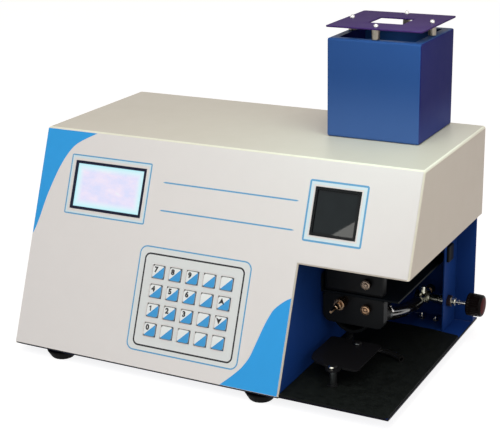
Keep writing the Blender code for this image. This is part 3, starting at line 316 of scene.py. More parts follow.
# a noise has its scale, detail and roughness; peel, pebble and smudge get their scale from the finish
grain = {
    "cloud": (14.0, 4.0, 0.6), "peel": (2.0, 0.4), "peelTint": 0.05, "wear": (60.0, 3.0), "wearSpread": 0.14,
    "pebble": (3.0, 0.6), "smudge": (5.0, 0.65),
    "stretch": (260, 4200, 260), "streak": (1.0, 3.0), "streakTint": 0.25, "streakSpread": 0.2,
    "tarnish": (320.0, 4.0, 0.6), "tarnishRange": (0.45, 0.75), "tarnishSpread": 0.15,
    "film": (50.0, 4.0, 0.6), "filmSpread": 0.05,
}


def powderCoatGroup():
    # baked powder paint: fine orange peel and a little cloudiness
    tree, start, end = newTree("powderCoat", "ShaderNodeTree", [
        ("Colour", "Color", (0.5, 0.5, 0.5, 1)), ("Peel Scale", "Float", 900.0), ("Cloud", "Float", 0.06),
        ("Roughness", "Float", 0.45)], effectOutputs)
    spot = objectSpot(tree)
    cloud = mathNode(tree, "SUBTRACT", noiseNode(tree, spot, *grain["cloud"]), 0.5)
    peel = noiseNode(tree, spot, start.outputs["Peel Scale"], *grain["peel"])
    cells = addNode(tree, "ShaderNodeTexVoronoi", {"Vector": spot, "Scale": start.outputs["Peel Scale"]},
                    feature="SMOOTH_F1")
    colour = tintNode(tree, start.outputs["Colour"], start.outputs["Cloud"], cloud)
    colour = tintNode(tree, colour, grain["peelTint"], mathNode(tree, "SUBTRACT", peel, 0.5))
    wear = noiseNode(tree, spot, *grain["wear"])
    rough = mathNode(tree, "MULTIPLY_ADD", wear, grain["wearSpread"], start.outputs["Roughness"])
    rough = mathNode(tree, "SUBTRACT", rough, grain["wearSpread"] / 2)
    tree.links.new(colour, end.inputs["Colour"])
    tree.links.new(rough, end.inputs["Roughness"])
    tree.links.new(mathNode(tree, "ADD", peel, cells.outputs["Distance"]), end.inputs["Height"])
    return tree


def mouldedGroup():
    # moulded plastic, rubber or printed film: close pebble, faint greasy smudges
    tree, start, end = newTree("mouldedGrain", "ShaderNodeTree", [
        ("Colour", "Color", (0.1, 0.1, 0.1, 1)), ("Pebble Scale", "Float", 1800.0),
        ("Smudge", "Float", 0.15), ("Smudge Scale", "Float", 45.0), ("Shade", "Float", 0.25),
        ("Roughness", "Float", 0.45)], effectOutputs)
    spot = objectSpot(tree)
    pebble = noiseNode(tree, spot, start.outputs["Pebble Scale"], *grain["pebble"])
    film = noiseNode(tree, spot, start.outputs["Smudge Scale"], *grain["smudge"])
    smudge = mathNode(tree, "SUBTRACT", film, 0.5)
    rough = mathNode(tree, "MULTIPLY_ADD", smudge, start.outputs["Smudge"], start.outputs["Roughness"])
    colour = tintNode(tree, start.outputs["Colour"], start.outputs["Shade"], smudge)
    tree.links.new(colour, end.inputs["Colour"])
    tree.links.new(rough, end.inputs["Roughness"])
    tree.links.new(pebble, end.inputs["Height"])
    return tree


def turnedMetalGroup():
    # metal off the lathe or drawn: streaks stretched along one way, with spots of tarnish
    tree, start, end = newTree("turnedMetal", "ShaderNodeTree", [
        ("Colour", "Color", (0.6, 0.6, 0.6, 1)), ("Tarnish Colour", "Color", (0.3, 0.3, 0.3, 1)),
        ("Tarnish", "Float", 0.4), ("Roughness", "Float", 0.25)], effectOutputs)
    spot = objectSpot(tree)
    stretch = addNode(tree, "ShaderNodeMapping", {"Vector": spot, "Scale": grain["stretch"]})
    streak = mathNode(tree, "SUBTRACT", noiseNode(tree, stretch.outputs["Vector"], *grain["streak"]), 0.5)
    mask = spreadNode(tree, noiseNode(tree, spot, *grain["tarnish"]), *grain["tarnishRange"])
    share = mathNode(tree, "MULTIPLY", mask, start.outputs["Tarnish"])
    colour = mixNode(tree, share, start.outputs["Colour"], start.outputs["Tarnish Colour"])
    rough = mathNode(tree, "MULTIPLY_ADD", streak, grain["streakSpread"], start.outputs["Roughness"])
    rough = mathNode(tree, "MULTIPLY_ADD", mask, grain["tarnishSpread"], rough)
    tree.links.new(tintNode(tree, colour, grain["streakTint"], streak), end.inputs["Colour"])
    tree.links.new(rough, end.inputs["Roughness"])
    tree.links.new(streak, end.inputs["Height"])
    return tree


def fadeGroup():
    # mask from zero at one place to one at another, along a way through the object's own space
    tree, start, end = newTree("fadeAlong", "ShaderNodeTree", [
        ("From", "Float", 1.0), ("To", "Float", 0.0), ("Way", "Vector", (0, 0, 1))],
        [("Mask", "Float", None)])
    along = vectorNode(tree, "DOT_PRODUCT", {0: objectSpot(tree), 1: start.outputs["Way"]}, "Value")
    mask = spreadNode(tree, along, start.outputs["From"], start.outputs["To"], "SMOOTHSTEP")
    tree.links.new(mask, end.inputs["Mask"])
    return tree


groups = {
    "powder": powderCoatGroup(), "moulded": mouldedGroup(), "turned": turnedMetalGroup(),
    "fade": fadeGroup(),
}


# finishes, one material each

def finish(name, effect, colour, roughness, bump, depth, extra, sockets):
    # a shared effect feeds colour, roughness and bump; extra are its other inputs, sockets the shader's own
    material = bpy.data.materials.new(name)
    material.use_nodes = True
    tree = material.node_tree
    shader = tree.nodes["Principled BSDF"]
    for label, value in sockets.items():
        shader.inputs[label].default_value = value
    source = addNode(tree, "ShaderNodeGroup", node_tree=groups[effect])
    for label, value in {"Colour": (*colour, 1), "Roughness": roughness, **extra}.items():
        source.inputs[label].default_value = value
    raised = addNode(tree, "ShaderNodeBump", {"Strength": bump, "Distance": depth * mm,
                                              "Height": source.outputs["Height"]})
    tree.links.new(source.outputs["Colour"], shader.inputs["Base Color"])
    tree.links.new(source.outputs["Roughness"], shader.inputs["Roughness"])
    tree.links.new(raised.outputs["Normal"], shader.inputs["Normal"])
    return material


def powder(name, colour, gloss=0.06, cloud=0.12, peel=1200.0, roughness=0.42, bump=0.25, depth=0.08):
    return finish(name, "powder", colour, roughness, bump, depth, {"Peel Scale": peel, "Cloud": cloud},
                  {"Specular IOR Level": gloss})


def moulded(name, colour, roughness, bump, depth, gloss=0.25, smudge=0.15, shade=0.25, pebble=1800.0,
            smudgeScale=45.0, coat=(0.0, 0.03)):
    return finish(name, "moulded", colour, roughness, bump, depth,
                  {"Pebble Scale": pebble, "Smudge": smudge, "Smudge Scale": smudgeScale, "Shade": shade},
                  {"Specular IOR Level": gloss, "Coat Weight": coat[0], "Coat Roughness": coat[1]})


def printInk(name, colour, shade, gloss=0.25, roughness=0.36, bump=0.05, depth=0.02):
    return moulded(name, colour, roughness, bump, depth, gloss, smudge=0.06, shade=shade, pebble=3000.0)


def metal(name, colour, roughness, tarnishColour=(0.3, 0.3, 0.3), tarnish=0.4, bump=0.15, depth=0.03):
    return finish(name, "turned", colour, roughness, bump, depth,
                  {"Tarnish Colour": (*tarnishColour, 1), "Tarnish": tarnish},
                  {"Metallic": 1.0, "Specular IOR Level": 0.5})


def glass(name, colour, roughness):
    # clear glass: a faint film in the roughness keeps it from looking drawn
    material = bpy.data.materials.new(name)
    material.use_nodes = True
    tree = material.node_tree
    shader = tree.nodes["Principled BSDF"]
    shader.inputs["Base Color"].default_value = (*colour, 1)
    shader.inputs["Transmission Weight"].default_value = 1.0
    shader.inputs["IOR"].default_value = 1.47
    film = noiseNode(tree, objectSpot(tree), *grain["film"])
    rough = mathNode(tree, "MULTIPLY_ADD", film, grain["filmSpread"], roughness)
    tree.links.new(rough, shader.inputs["Roughness"])
    return material


def fadeColour(material, fade, fromPlace, toPlace, way=(0, 0, 1)):
    # lets the shared effect start from a colour that turns into another one along the way
    tree = material.node_tree
    source = next(node for node in tree.nodes if node.type == "GROUP")
    mask = addNode(tree, "ShaderNodeGroup", node_tree=groups["fade"])
    for label, value in (("From", fromPlace), ("To", toPlace), ("Way", way)):
        mask.inputs[label].default_value = value
    factor = mathNode(tree, "MULTIPLY", mask.outputs["Mask"], fade["share"])
    plain = tuple(source.inputs["Colour"].default_value)
    tree.links.new(mixNode(tree, factor, plain, (*fade["colour"], 1)), source.inputs["Colour"])


# paint of the sheet metal: colour, gloss, cloudiness, peel scale, roughness, bump and its depth in mm
creamPaint = powder("creamPaint", (0.585, 0.545, 0.47), 0.25, 0.05, 1100.0)
# a lighter copy of the cream paint for the cover's folded edges: painted highlight
creamPaintedHighlight = powder("creamPaintedHighlight", (0.80, 0.79, 0.67), 0.25, 0.05, 1100.0, 0.36, 0.15, 0.05)
bayPaint = powder("bayPaint", (0.009, 0.042, 0.198))
# the bay's blue, darker towards the top, for its side wall: painted shade under the overhang
bayWallPaintedShade = powder("bayWallPaintedShade", (0.0060, 0.0235, 0.088))
trayPaint = powder("trayPaint", (0.009, 0.043, 0.215))
# near black for the tray's edges in the bay and the cover's lowest edge: painted shade and shadow
paintedShadeEdge = powder("paintedShadeEdge", (0.006, 0.005, 0.009), 0.04, 0.10, 1100.0)
chimneyPaint = powder("chimneyPaint", (0.021, 0.067, 0.222), 0.06, 0.10, 1100.0, bump=0.3)
# the same blue, darker and more purple, for the chimney's right side: painted shade
chimneySidePaintedShade = powder("chimneySidePaintedShade", (0.015, 0.017, 0.120), 0.01, 0.14, 1100.0, bump=0.3)
shieldPaint = powder("shieldPaint", (0.044, 0.020, 0.100), 0.006, 0.10, bump=0.3)
blackShelf = powder("blackShelf", (0.006, 0.008, 0.010), 0.05, 0.06, 900.0, 0.55, depth=0.06)
opticsGrey = powder("opticsGrey", (0.18, 0.18, 0.19), 0.25, 0.06, 900.0, 0.40, 0.2, 0.05)

# printed sheet and inks: colour, shade of the smudges, gloss, roughness, bump and its depth in mm
sheetPrint = printInk("sheetPrint", (0.745, 0.725, 0.715), 0.04, bump=0.08, depth=0.03)
inkBlue = printInk("inkBlue", (0.036, 0.350, 0.790), 0.08, 0.12, 0.34)
inkLine = printInk("inkLine", (0.130, 0.370, 0.620), 0.08, 0.12, 0.34)
inkPale = printInk("inkPale", (0.640, 0.760, 0.810), 0.04)
inkGround = printInk("inkGround", (0.705, 0.735, 0.735), 0.04)
inkDark = printInk("inkDark", (0.035, 0.035, 0.040), 0.25, 0.12, 0.34)

# keys, mouldings and rubber: colour, roughness, bump and its depth in mm, gloss, smudge, shade of the
# smudges, pebble scale and smudge scale
inkWhite = moulded("inkWhite", (0.70, 0.70, 0.70), 0.40, 0.05, 0.02)
keyWhite = moulded("keyWhite", (0.80, 0.83, 0.83), 0.32, 0.05, 0.03, smudge=0.08, shade=0.06)
keyBlue = moulded("keyBlue", (0.060, 0.335, 0.690), 0.32, 0.05, 0.03, 0.15, 0.08, 0.08)
# the keys' walls and rounded rims darker than their tops: painted shade
keyWallPaintedShade = moulded("keyWallPaintedShade", (0.085, 0.130, 0.170), 0.40, 0.05, 0.03, 0.12, 0.08)
keyRimPaintedShade = moulded("keyRimPaintedShade", (0.27, 0.27, 0.26), 0.40, 0.05, 0.03, 0.15, 0.08)

bezelBlack = moulded("bezelBlack", (0.010, 0.012, 0.032), 0.35, 0.15, 0.05, 0.12)
blackMoulding = moulded("blackMoulding", (0.007, 0.008, 0.009), 0.38, 0.2, 0.06, 0.10)
tableBlack = moulded("tableBlack", (0.008, 0.008, 0.009), 0.30, 0.15, 0.05, 0.12)
matRubber = moulded("matRubber", (0.0050, 0.0062, 0.0056), 0.60, 0.6, 0.30, 0.07, 0.5, 2.2, 900.0, 160.0)
footRubber = moulded("footRubber", (0.0035, 0.0035, 0.0035), 0.65, 0.35, 0.12, 0.05, pebble=1500.0)
hoseBlack = moulded("hoseBlack", (0.007, 0.007, 0.007), 0.10, 0.04, 0.03, 0.35, 0.05, pebble=300.0,
                    coat=(0.8, 0.04))
drainRubber = moulded("drainRubber", (0.010, 0.010, 0.010), 0.20, 0.10, 0.05, 0.5, 0.10, pebble=700.0)
knobBlack = moulded("knobBlack", (0.005, 0.003, 0.003), 0.16, 0.12, 0.04, 0.04, 0.12)
knobRed = moulded("knobRed", (0.070, 0.008, 0.010), 0.30, 0.10, 0.03, 0.008, 0.12)
inletBlack = moulded("inletBlack", (0.012, 0.012, 0.012), 0.34, 0.15, 0.04, 0.2)
rockerBlack = moulded("rockerBlack", (0.014, 0.014, 0.014), 0.28, 0.10, 0.03, 0.2)
boardGreen = moulded("boardGreen", (0.015, 0.110, 0.045), 0.35, 0.2, 0.05)
smokedGlass = moulded("smokedGlass", (0.011, 0.015, 0.017), 0.035, 0.04, 0.02, 0.18, 0.10, 0.6, 1100.0)
clearGlass = glass("clearGlass", (0.93, 0.97, 0.97), 0.02)

# metals: colour, roughness, tarnish, its share, bump and its depth in mm
brassOld = metal("brassOld", (0.38, 0.245, 0.15), 0.14, (0.06, 0.03, 0.02), 0.9)
# a darker copy of the brass for the upper thumb nut: painted shade
brassInPaintedShade = metal("brassInPaintedShade", (0.26, 0.20, 0.155), 0.15, (0.04, 0.03, 0.02), 0.9)
brassDark = metal("brassDark", (0.32, 0.22, 0.14), 0.20, (0.04, 0.025, 0.02), 0.9)
postDark = metal("postDark", (0.10, 0.11, 0.11), 0.30, (0.03, 0.03, 0.03), 0.6)
nutDark = metal("nutDark", (0.11, 0.07, 0.06), 0.30, (0.02, 0.02, 0.02), 0.6)
nickel = metal("nickel", (0.76, 0.76, 0.66), 0.20, (0.25, 0.22, 0.16), 0.5, 0.10, 0.02)
steelBright = metal("steelBright", (0.72, 0.70, 0.67), 0.14, (0.45, 0.42, 0.38), 0.25, 0.10, 0.02)
spacerMetal = metal("spacerMetal", (0.27, 0.25, 0.21), 0.32, (0.22, 0.19, 0.15), 0.6)
steelBurner = metal("steelBurner", (0.50, 0.47, 0.43), 0.30, (0.22, 0.14, 0.10), 0.7)
coreSteel = metal("coreSteel", (0.42, 0.40, 0.38), 0.40, bump=0.3, depth=0.05)

# painted light and shade that change over one sheet: the chimney's front pales towards its foot as a painted
# reflection of the lid, its right side pales at the foot as painted light, the bay's wall darkens upwards as
# painted shade under the overhang, the tray's right edge is dark as painted shade, and the cover's lowest
# edge is dark as a painted shadow under the case
paintedLightFades = {
    "front": {"colour": (0.056, 0.124, 0.335), "share": 0.9, "underTop": 30},
    "side": {"colour": (0.050, 0.070, 0.250), "share": 0.9, "top": 45, "foot": -5},
    "wall": {"colour": (0.0085, 0.043, 0.205), "share": 1.0, "top": 155, "foot": 30},
    "tray": {"colour": (0.006, 0.005, 0.009), "share": 1.0, "inner": 0.8, "outer": 0.7},
    "edge": {"colour": (0.004, 0.004, 0.005), "share": 1.0, "top": 1.4, "foot": 1.0},
}


def paintLightOnSheets():
    low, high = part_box("chimney")
    front, side, wall, tray, edge = (paintedLightFades[name] for name in ("front", "side", "wall", "tray", "edge"))
    fadeColour(chimneyPaint, front, high.z - front["underTop"] * mm, low.z)
    fadeColour(chimneySidePaintedShade, side, low.z + side["top"] * mm, low.z + side["foot"] * mm)
    fadeColour(bayWallPaintedShade, wall, coverLow.z + wall["top"] * mm, coverLow.z + wall["foot"] * mm)
    right = coverHigh.x
    fadeColour(trayPaint, tray, right - tray["inner"] * mm, right - tray["outer"] * mm, way=(1, 0, 0))
    fadeColour(creamPaint, edge, coverLow.z + edge["top"] * mm, coverLow.z + edge["foot"] * mm)


paintLightOnSheets()
print("finishes made")

nodeFinish = {
    creamPaint: ("cover", "rear_panel"),
    sheetPrint: ("front_overlay",),
    bayPaint: ("bay_back_wall", "bay_roof", "valve_plate"),
    trayPaint: ("chassis",),
    bayWallPaintedShade: ("bay_side_wall",),
    chimneyPaint: ("chimney",),
    shieldPaint: ("heat_shield",),
    matRubber: ("bay_mat",),
    footRubber: ("foot_front_left", "foot_front_right", "foot_rear_left", "foot_rear_right"),
    steelBurner: ("burner",),
    clearGlass: ("glass_chimney",),
    blackMoulding: ("burner_base", "chamber_cover", "mixing_chamber", "window_frame"),
    blackShelf: ("burner_shelf",),
    brassOld: ("nebuliser", "upper_thumb_nut", "lower_thumb_nut", "gas_inlet", "air_inlet"),
    nickel: ("valve_body",),
    hoseBlack: ("gas_hose", "drain_hose"),
    knobBlack: ("gas_knob",),
    tableBlack: ("sample_table",),
    bezelBlack: ("lcd_bezel", "lcd_module"),
    smokedGlass: ("window_glass",),
    boardGreen: ("main_board",),
    opticsGrey: ("optics_block",),
    coreSteel: ("power_supply",),
    inletBlack: ("mains_inlet",),
    rockerBlack: ("power_switch",),
    keyWhite: tuple(name for name in nodes if name.startswith("key_")),
}
for material, names in nodeFinish.items():
    for name in names:
        nodes[name].data.materials.clear()
        nodes[name].data.materials.append(material)


def paintPart(name, material, chosen):
    # a second finish for the faces of a CAD node that are chosen by their middle, in mm, and their normal
    mesh = nodes[name].data
    mesh.materials.append(material)
    for face in mesh.polygons:
        if chosen((face.center - caseOrigin) / mm, face.normal):
            face.material_index = len(mesh.materials) - 1


# share of a normal along an axis, above which its face counts as facing that way
normalShare = {"straight": 0.97, "mostly": 0.9, "partly": 0.5}
# heights in mm under which a second finish is given
paintBelow = {"cover": 1.5, "tray": 3, "table": 20}
valve = {"plateFace": 399.5, "skin": 0.1, "clipBottom": 70, "y": 140, "z": 33, "bore": 4.7}
inletPins = {"x": 55, "reach": 9, "low": 36, "high": 44, "front": 168.5, "back": 180}
paintPart("valve_plate", blackMoulding,
          lambda spot, normal: spot.x > valve["plateFace"] + valve["skin"] and spot.z > valve["clipBottom"])
paintPart("valve_body", nutDark,
          lambda spot, normal: spot.x > valve["plateFace"]
          and math.hypot(spot.y - valve["y"], spot.z - valve["z"]) > valve["bore"])
# the chimney's right side in the darker purple copy: painted shade
paintPart("chimney", chimneySidePaintedShade, lambda spot, normal: normal.x > normalShare["mostly"])
# the cover's bevelled folds in the lighter cream: painted highlight
paintPart("cover", creamPaintedHighlight,
          lambda spot, normal: max(abs(normal.x), abs(normal.z)) < normalShare["straight"]
          and abs(normal.y) < normalShare["mostly"])
# the cover's lowest edge near black: painted shadow under the case
paintPart("cover", paintedShadeEdge,
          lambda spot, normal: spot.z < paintBelow["cover"] and normal.z < normalShare["mostly"]
          and abs(normal.x) < normalShare["partly"])
paintPart("sample_table", postDark,
          lambda spot, normal: spot.z < paintBelow["table"] and abs(normal.z) < normalShare["partly"])
# the blue tray's edges in the bay near black: painted shade
paintPart("chassis", paintedShadeEdge,
          lambda spot, normal: spot.x > case["bayLeft"] and spot.z < paintBelow["tray"]
          and abs(normal.z) < normalShare["partly"])
paintPart("mains_inlet", nickel,
          lambda spot, normal: abs(spot.x - inletPins["x"]) < inletPins["reach"]
          and inletPins["low"] < spot.z < inletPins["high"]
          and inletPins["front"] < spot.y < inletPins["back"])
print("CAD nodes painted")


# mesh helpers

def asPiece(name, mesh, body, replaced=(), smooth=35.0):
    piece = bpy.data.objects.new(name, mesh)
    bpy.context.scene.collection.objects.link(piece)
    if smooth:
        mesh.shade_smooth()
        mesh.set_sharp_from_angle(angle=math.radians(smooth))
    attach(piece, body)
    if replaced:
        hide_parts(*replaced)
    return piece


def meshOf(holder):
    # evaluated mesh of a helper object, which is then thrown away
    bpy.context.scene.collection.objects.link(holder)
    view = bpy.context.evaluated_depsgraph_get()
    mesh = bpy.data.meshes.new_from_object(holder.evaluated_get(view))
    bpy.data.objects.remove(holder, do_unlink=True)
    return mesh


def shapeToMesh(shape, name):
    mesh = bpy.data.meshes.new(name)
    shape.to_mesh(mesh)
    shape.free()
    return mesh


def closeUp(mesh):
    # doubles merged, faces turned outwards
    shape = bmesh.new()
    shape.from_mesh(mesh)
    bmesh.ops.remove_doubles(shape, verts=shape.verts, dist=1e-6)
    bmesh.ops.recalc_face_normals(shape, faces=shape.faces)
    shape.to_mesh(mesh)
    shape.free()
    return mesh


def joinMeshes(name, parts):
    # parts are (mesh, matrix, material); the result has one slot for each material
    shape = bmesh.new()
    materials = []
    for mesh, matrix, material in parts:
        if material not in materials:
            materials.append(material)
        count = len(shape.faces)
        extra = mesh.copy()
        extra.transform(matrix)
        shape.from_mesh(extra)
        bpy.data.meshes.remove(extra)
        shape.faces.ensure_lookup_table()
        for face in shape.faces[count:]:
            face.material_index = materials.index(material)
    joined = shapeToMesh(shape, name)
    for material in materials:
        joined.materials.append(material)
    return joined


def skinRings(shape, rings, closed=False):
    # four-sided faces between rings of the same number of points
    rows = [[shape.verts.new(point) for point in ring] for ring in rings]
    for below, above in zip(rows, rows[1:] + (rows[:1] if closed else [])):
        for index in range(len(below)):
            after = (index + 1) % len(below)
            shape.faces.new((below[index], below[after], above[after], above[index]))
    return rows


def loft(rings):
    # rings seen anticlockwise from above, from the lowest to the highest, with both ends closed
    shape = bmesh.new()
    rows = skinRings(shape, rings)
    shape.faces.new(rows[0][::-1])
    shape.faces.new(rows[-1])
    return shapeToMesh(shape, "loft")


def turnedMesh(profile, sides=48):
    # profile of (radius, height) in mm from the lowest point of the axis to the highest
    shape = bmesh.new()
    rows = []
    for radius, height in profile:
        turns = [2 * math.pi * step / sides for step in range(sides if radius else 1)]
        ring = [(radius * mm * math.cos(turn), radius * mm * math.sin(turn), height * mm) for turn in turns]
        rows.append([shape.verts.new(point) for point in ring])
    for below, above in zip(rows, rows[1:]):
        for index in range(sides):
            after = (index + 1) % sides
            corners = [below[index % len(below)], below[after % len(below)],
                       above[after % len(above)], above[index % len(above)]]
            corners = [corner for spot, corner in enumerate(corners) if corner not in corners[:spot]]
            if len(corners) > 2:
                shape.faces.new(corners)
    return shapeToMesh(shape, "turned")


def roundedLoop(left, top, right, bottom, radius, steps=8):
    # anticlockwise outline in x and y, with top and bottom measured down from the panel's upper edge
    points = []
    corners = ((right - radius, -bottom + radius, -90), (right - radius, -top - radius, 0),
               (left + radius, -top - radius, 90), (left + radius, -bottom + radius, 180))
    for cornerX, cornerY, start in corners:
        for step in range(steps + 1):
            turn = math.radians(start + 90 * step / steps)
            points.append((cornerX + radius * math.cos(turn), cornerY + radius * math.sin(turn)))
    return points


def grownLoop(box, grow, radius):
    left, top, right, bottom = box
    return roundedLoop(left - grow, top - grow, right + grow, bottom + grow, radius)


def smoothLine(points, steps=6):
    # a curve through the points
    result = []
    for index in range(len(points) - 1):
        before = Vector(points[max(index - 1, 0)])
        first, second = Vector(points[index]), Vector(points[index + 1])
        after = Vector(points[min(index + 2, len(points) - 1)])
        bend = 2 * before - 5 * first + 4 * second - after
        swing = 3 * first - before - 3 * second + after
        for step in range(steps):
            along = step / steps
            slope = (second - before) * along
            result.append(0.5 * (2 * first + slope + bend * along ** 2 + swing * along ** 3))
    result.append(Vector(points[-1]))
    return [tuple(point) for point in result]


def printedMesh(loops, thickness):
    # flat fill of closed loops in mm, a loop inside another is a hole; as thick as the ink
    curve = bpy.data.curves.new("print", "CURVE")
    curve.dimensions = "2D"
    curve.fill_mode = "BOTH"
    curve.extrude = thickness * mm / 2
    for loop in loops:
        spline = curve.splines.new("POLY")
        spline.points.add(len(loop) - 1)
        for point, (x, y) in zip(spline.points, loop):
            point.co = (x * mm, y * mm, 0, 1)
        spline.use_cyclic_u = True
    return closeUp(meshOf(bpy.data.objects.new("print", curve)))


def letterMesh(body, size, thickness, bold):
    letter = bpy.data.curves.new("letter", "FONT")
    letter.body = body
    letter.size = size * mm
    letter.extrude = thickness * mm / 2
    letter.offset = bold * mm
    letter.align_x = "CENTER"
    letter.align_y = "CENTER"
    letter.resolution_u = 3
    return closeUp(meshOf(bpy.data.objects.new("letter", letter)))


# front panel print

panel = {
    "inkTop": 0.80, "ink": 0.04, "inkGap": 0.01,
    "display": (37.4, 25.9, 133.8, 87.0), "window": (309.9, 21.0, 368.5, 78.5), "corner": 1.2,
    "keypad": (136.0, 107.9, 261.2, 212.6), "keypadRadius": 7.5,
    "keyLine": (142.8, 114.7, 254.5, 207.0), "keyLineRadius": 5.5,
    "thin": 1.4, "wide": 1.9, "dark": 1.7, "bandCorner": 0.5, "keyGap": 0.4, "keyCorner": 4.2,
    "rules": ((149.4, 300.4, 42.5), (150.0, 299.8, 70.8)), "ruleHeight": 1.5, "ruleFade": 3.0,
    "left": 1.6, "top": 1.6, "bottom": 229.2, "bay": 307.5,
    "upperSwoosh": [(63, 1.6), (42.6, 12.9), (32, 23.9), (22.6, 42.1), (14.3, 66.5), (10.6, 80.8),
                    (7.9, 93.9), (4.1, 108.3), (1.6, 114.0)],
    "lowerSwoosh": [(307.5, 135.1), (301.1, 139), (291.9, 147.7), (287.8, 155.1), (284, 164.4),
                    (280.5, 175.2), (277, 186.4), (273.4, 197.3), (269.3, 204.8), (264.9, 210.9),
                    (255.6, 220.5), (246.0, 229.2)],
}


def frameLine(box, radius, width, smallest=0.3):
    # both outlines of a line round a box
    half = width / 2
    return [grownLoop(box, half, radius + half), grownLoop(box, -half, max(radius - half, smallest))]


def panelBox(node):
    # left, top, right and bottom of a CAD node on the sloping panel, in mm
    points = [panelMatrix.inverted() @ vertex.co / mm for vertex in nodes[node].data.vertices]
    return (min(point.x for point in points), min(-point.y for point in points),
            max(point.x for point in points), max(-point.y for point in points))


def swooshLoops():
    upper = smoothLine(panel["upperSwoosh"]) + [(panel["left"], panel["top"])]
    lower = smoothLine(panel["lowerSwoosh"]) + [(panel["bay"], panel["bottom"])]
    return [[(x, -down) for x, down in loop] for loop in (upper, lower)]


def lineLoops():
    # outlines of display, window and keypad, and two rules that thin out at their ends
    loops = frameLine(panel["display"], panel["corner"], panel["thin"])
    loops += frameLine(panel["window"], panel["corner"], panel["wide"])
    loops += frameLine(panel["keypad"], panel["keypadRadius"], panel["thin"])
    half, fade = panel["ruleHeight"] / 2, panel["ruleFade"]
    for start, end, down in panel["rules"]:
        low, high = -down - half, -down + half
        loops.append([(start, -down), (start + fade, low), (end - fade, low), (end, -down),
                      (end - fade, high), (start + fade, high)])
    return loops


def bandLoops():
    # pale bands between the outlines and what they frame
    loops = []
    for node, name, width in (("lcd_bezel", "display", "thin"), ("window_frame", "window", "wide")):
        loops.append(grownLoop(panel[name], -panel[width] / 2, panel["bandCorner"]))
        loops.append(grownLoop(panelBox(node), 0, panel["bandCorner"]))
    return loops


def groundLoops():
    # the keypad's ground: a band between its two outlines, and the field round the keys
    dark, thin = panel["dark"] / 2, panel["thin"] / 2
    loops = [grownLoop(panel["keypad"], -thin, panel["keypadRadius"] - thin),
             grownLoop(panel["keyLine"], dark, panel["keyLineRadius"] + dark),
             grownLoop(panel["keyLine"], -dark, panel["keyLineRadius"] - dark)]
    for name in sorted(nodes):
        if name.startswith("key_"):
            loops.append(grownLoop(panelBox(name), panel["keyGap"], panel["keyCorner"]))
    return loops


def makePrint():
    lift = panel["inkTop"] + panel["ink"] / 2 + panel["inkGap"]
    place = panelMatrix @ Matrix.Translation((0, 0, lift * mm))
    prints = {
        "panelSwooshes": (swooshLoops(), inkBlue),
        "panelLines": (lineLoops(), inkLine),
        "paleBands": (bandLoops(), inkPale),
        "keypadGround": (groundLoops(), inkGround),
        "keypadLine": (frameLine(panel["keyLine"], panel["keyLineRadius"], panel["dark"]), inkDark),
    }
    for name, (loops, ink) in prints.items():
        mesh = joinMeshes(name, [(printedMesh(loops, panel["ink"]), place, ink)])
        asPiece(name, mesh, "case", smooth=0)


makePrint()
print("panel printed")


# keys

keySize = {
    "width": 13.7, "height": 13.3, "flange": 1.1, "flangeHeight": 1.0, "corner": 2.9, "edge": 0.7,
    "flat": 0.75, "cornerSteps": 6, "edgeSteps": 4, "wallNormal": 0.5, "rimNormal": 0.93,
    "digit": 7.3, "digitAt": (-2.7, 2.0), "bold": 0.40, "arrow": 6.6, "arrowAt": (-2.2, 1.9),
    "ink": 0.03, "inkGap": 0.005,
    "one": [(-0.25, -2.6), (1.0, -2.6), (1.0, 2.6), (0.1, 2.6), (-1.4, 1.55), (-1.4, 0.55), (-0.25, 1.25)],
}


def keyOutline(grow, height):
    wide, tall = keySize["width"] / 2 + grow, keySize["height"] / 2 + grow
    radius = keySize["corner"] + grow
    loop = roundedLoop(-wide, -tall, wide, tall, radius, keySize["cornerSteps"])
    return [(x * mm, y * mm, height * mm) for x, y in loop]


def keyMesh(low, high):
    # flange, straight wall, rounded top edge and a low crown; cut along its diagonal
    # slots: 0 white half, 1 blue half, 2 print, 3 wall and 4 rim, both darker as painted shade
    edge, drop = keySize["edge"], keySize["edge"] * keySize["flat"]
    shoulder = low + keySize["flangeHeight"]
    levels = [(keySize["flange"], low), (keySize["flange"], shoulder), (0, shoulder), (0, high - drop)]
    for step in range(1, keySize["edgeSteps"] + 1):
        turn = math.radians(90 * step / keySize["edgeSteps"])
        levels.append((-edge * (1 - math.cos(turn)), high - drop * (1 - math.sin(turn))))
    shape = bmesh.new()
    shape.from_mesh(loft([keyOutline(grow, height) for grow, height in levels]))
    across = Vector((keySize["height"], -keySize["width"], 0)).normalized()
    bmesh.ops.bisect_plane(shape, geom=shape.verts[:] + shape.edges[:] + shape.faces[:], plane_co=(0, 0, 0),
                           plane_no=across, dist=1e-7)
    for face in shape.faces:
        if abs(face.normal.z) < keySize["wallNormal"]:
            face.material_index = 3
        elif abs(face.normal.z) < keySize["rimNormal"]:
            face.material_index = 4
        else:
            face.material_index = 1 if face.calc_center_median().dot(across) > 0 else 0
    return shapeToMesh(shape, "key")


def keyPrint(mark):
    # mesh of a key's digit or arrow, or None, and its place on the key
    ink = keySize["ink"]
    if mark == "1":
        return printedMesh([keySize["one"]], ink), keySize["digitAt"]
    if mark.isdigit():
        return letterMesh(mark, keySize["digit"], ink, keySize["bold"]), keySize["digitAt"]
    if mark in ("up", "down"):
        size = keySize["arrow"] * (1 if mark == "up" else -1)
        arrow = [(-size / 2, -size / 2), (0, -size / 4), (size / 2, -size / 2), (0, size / 2)]
        return printedMesh([arrow], ink), keySize["arrowAt"]
    return None, (0, 0)


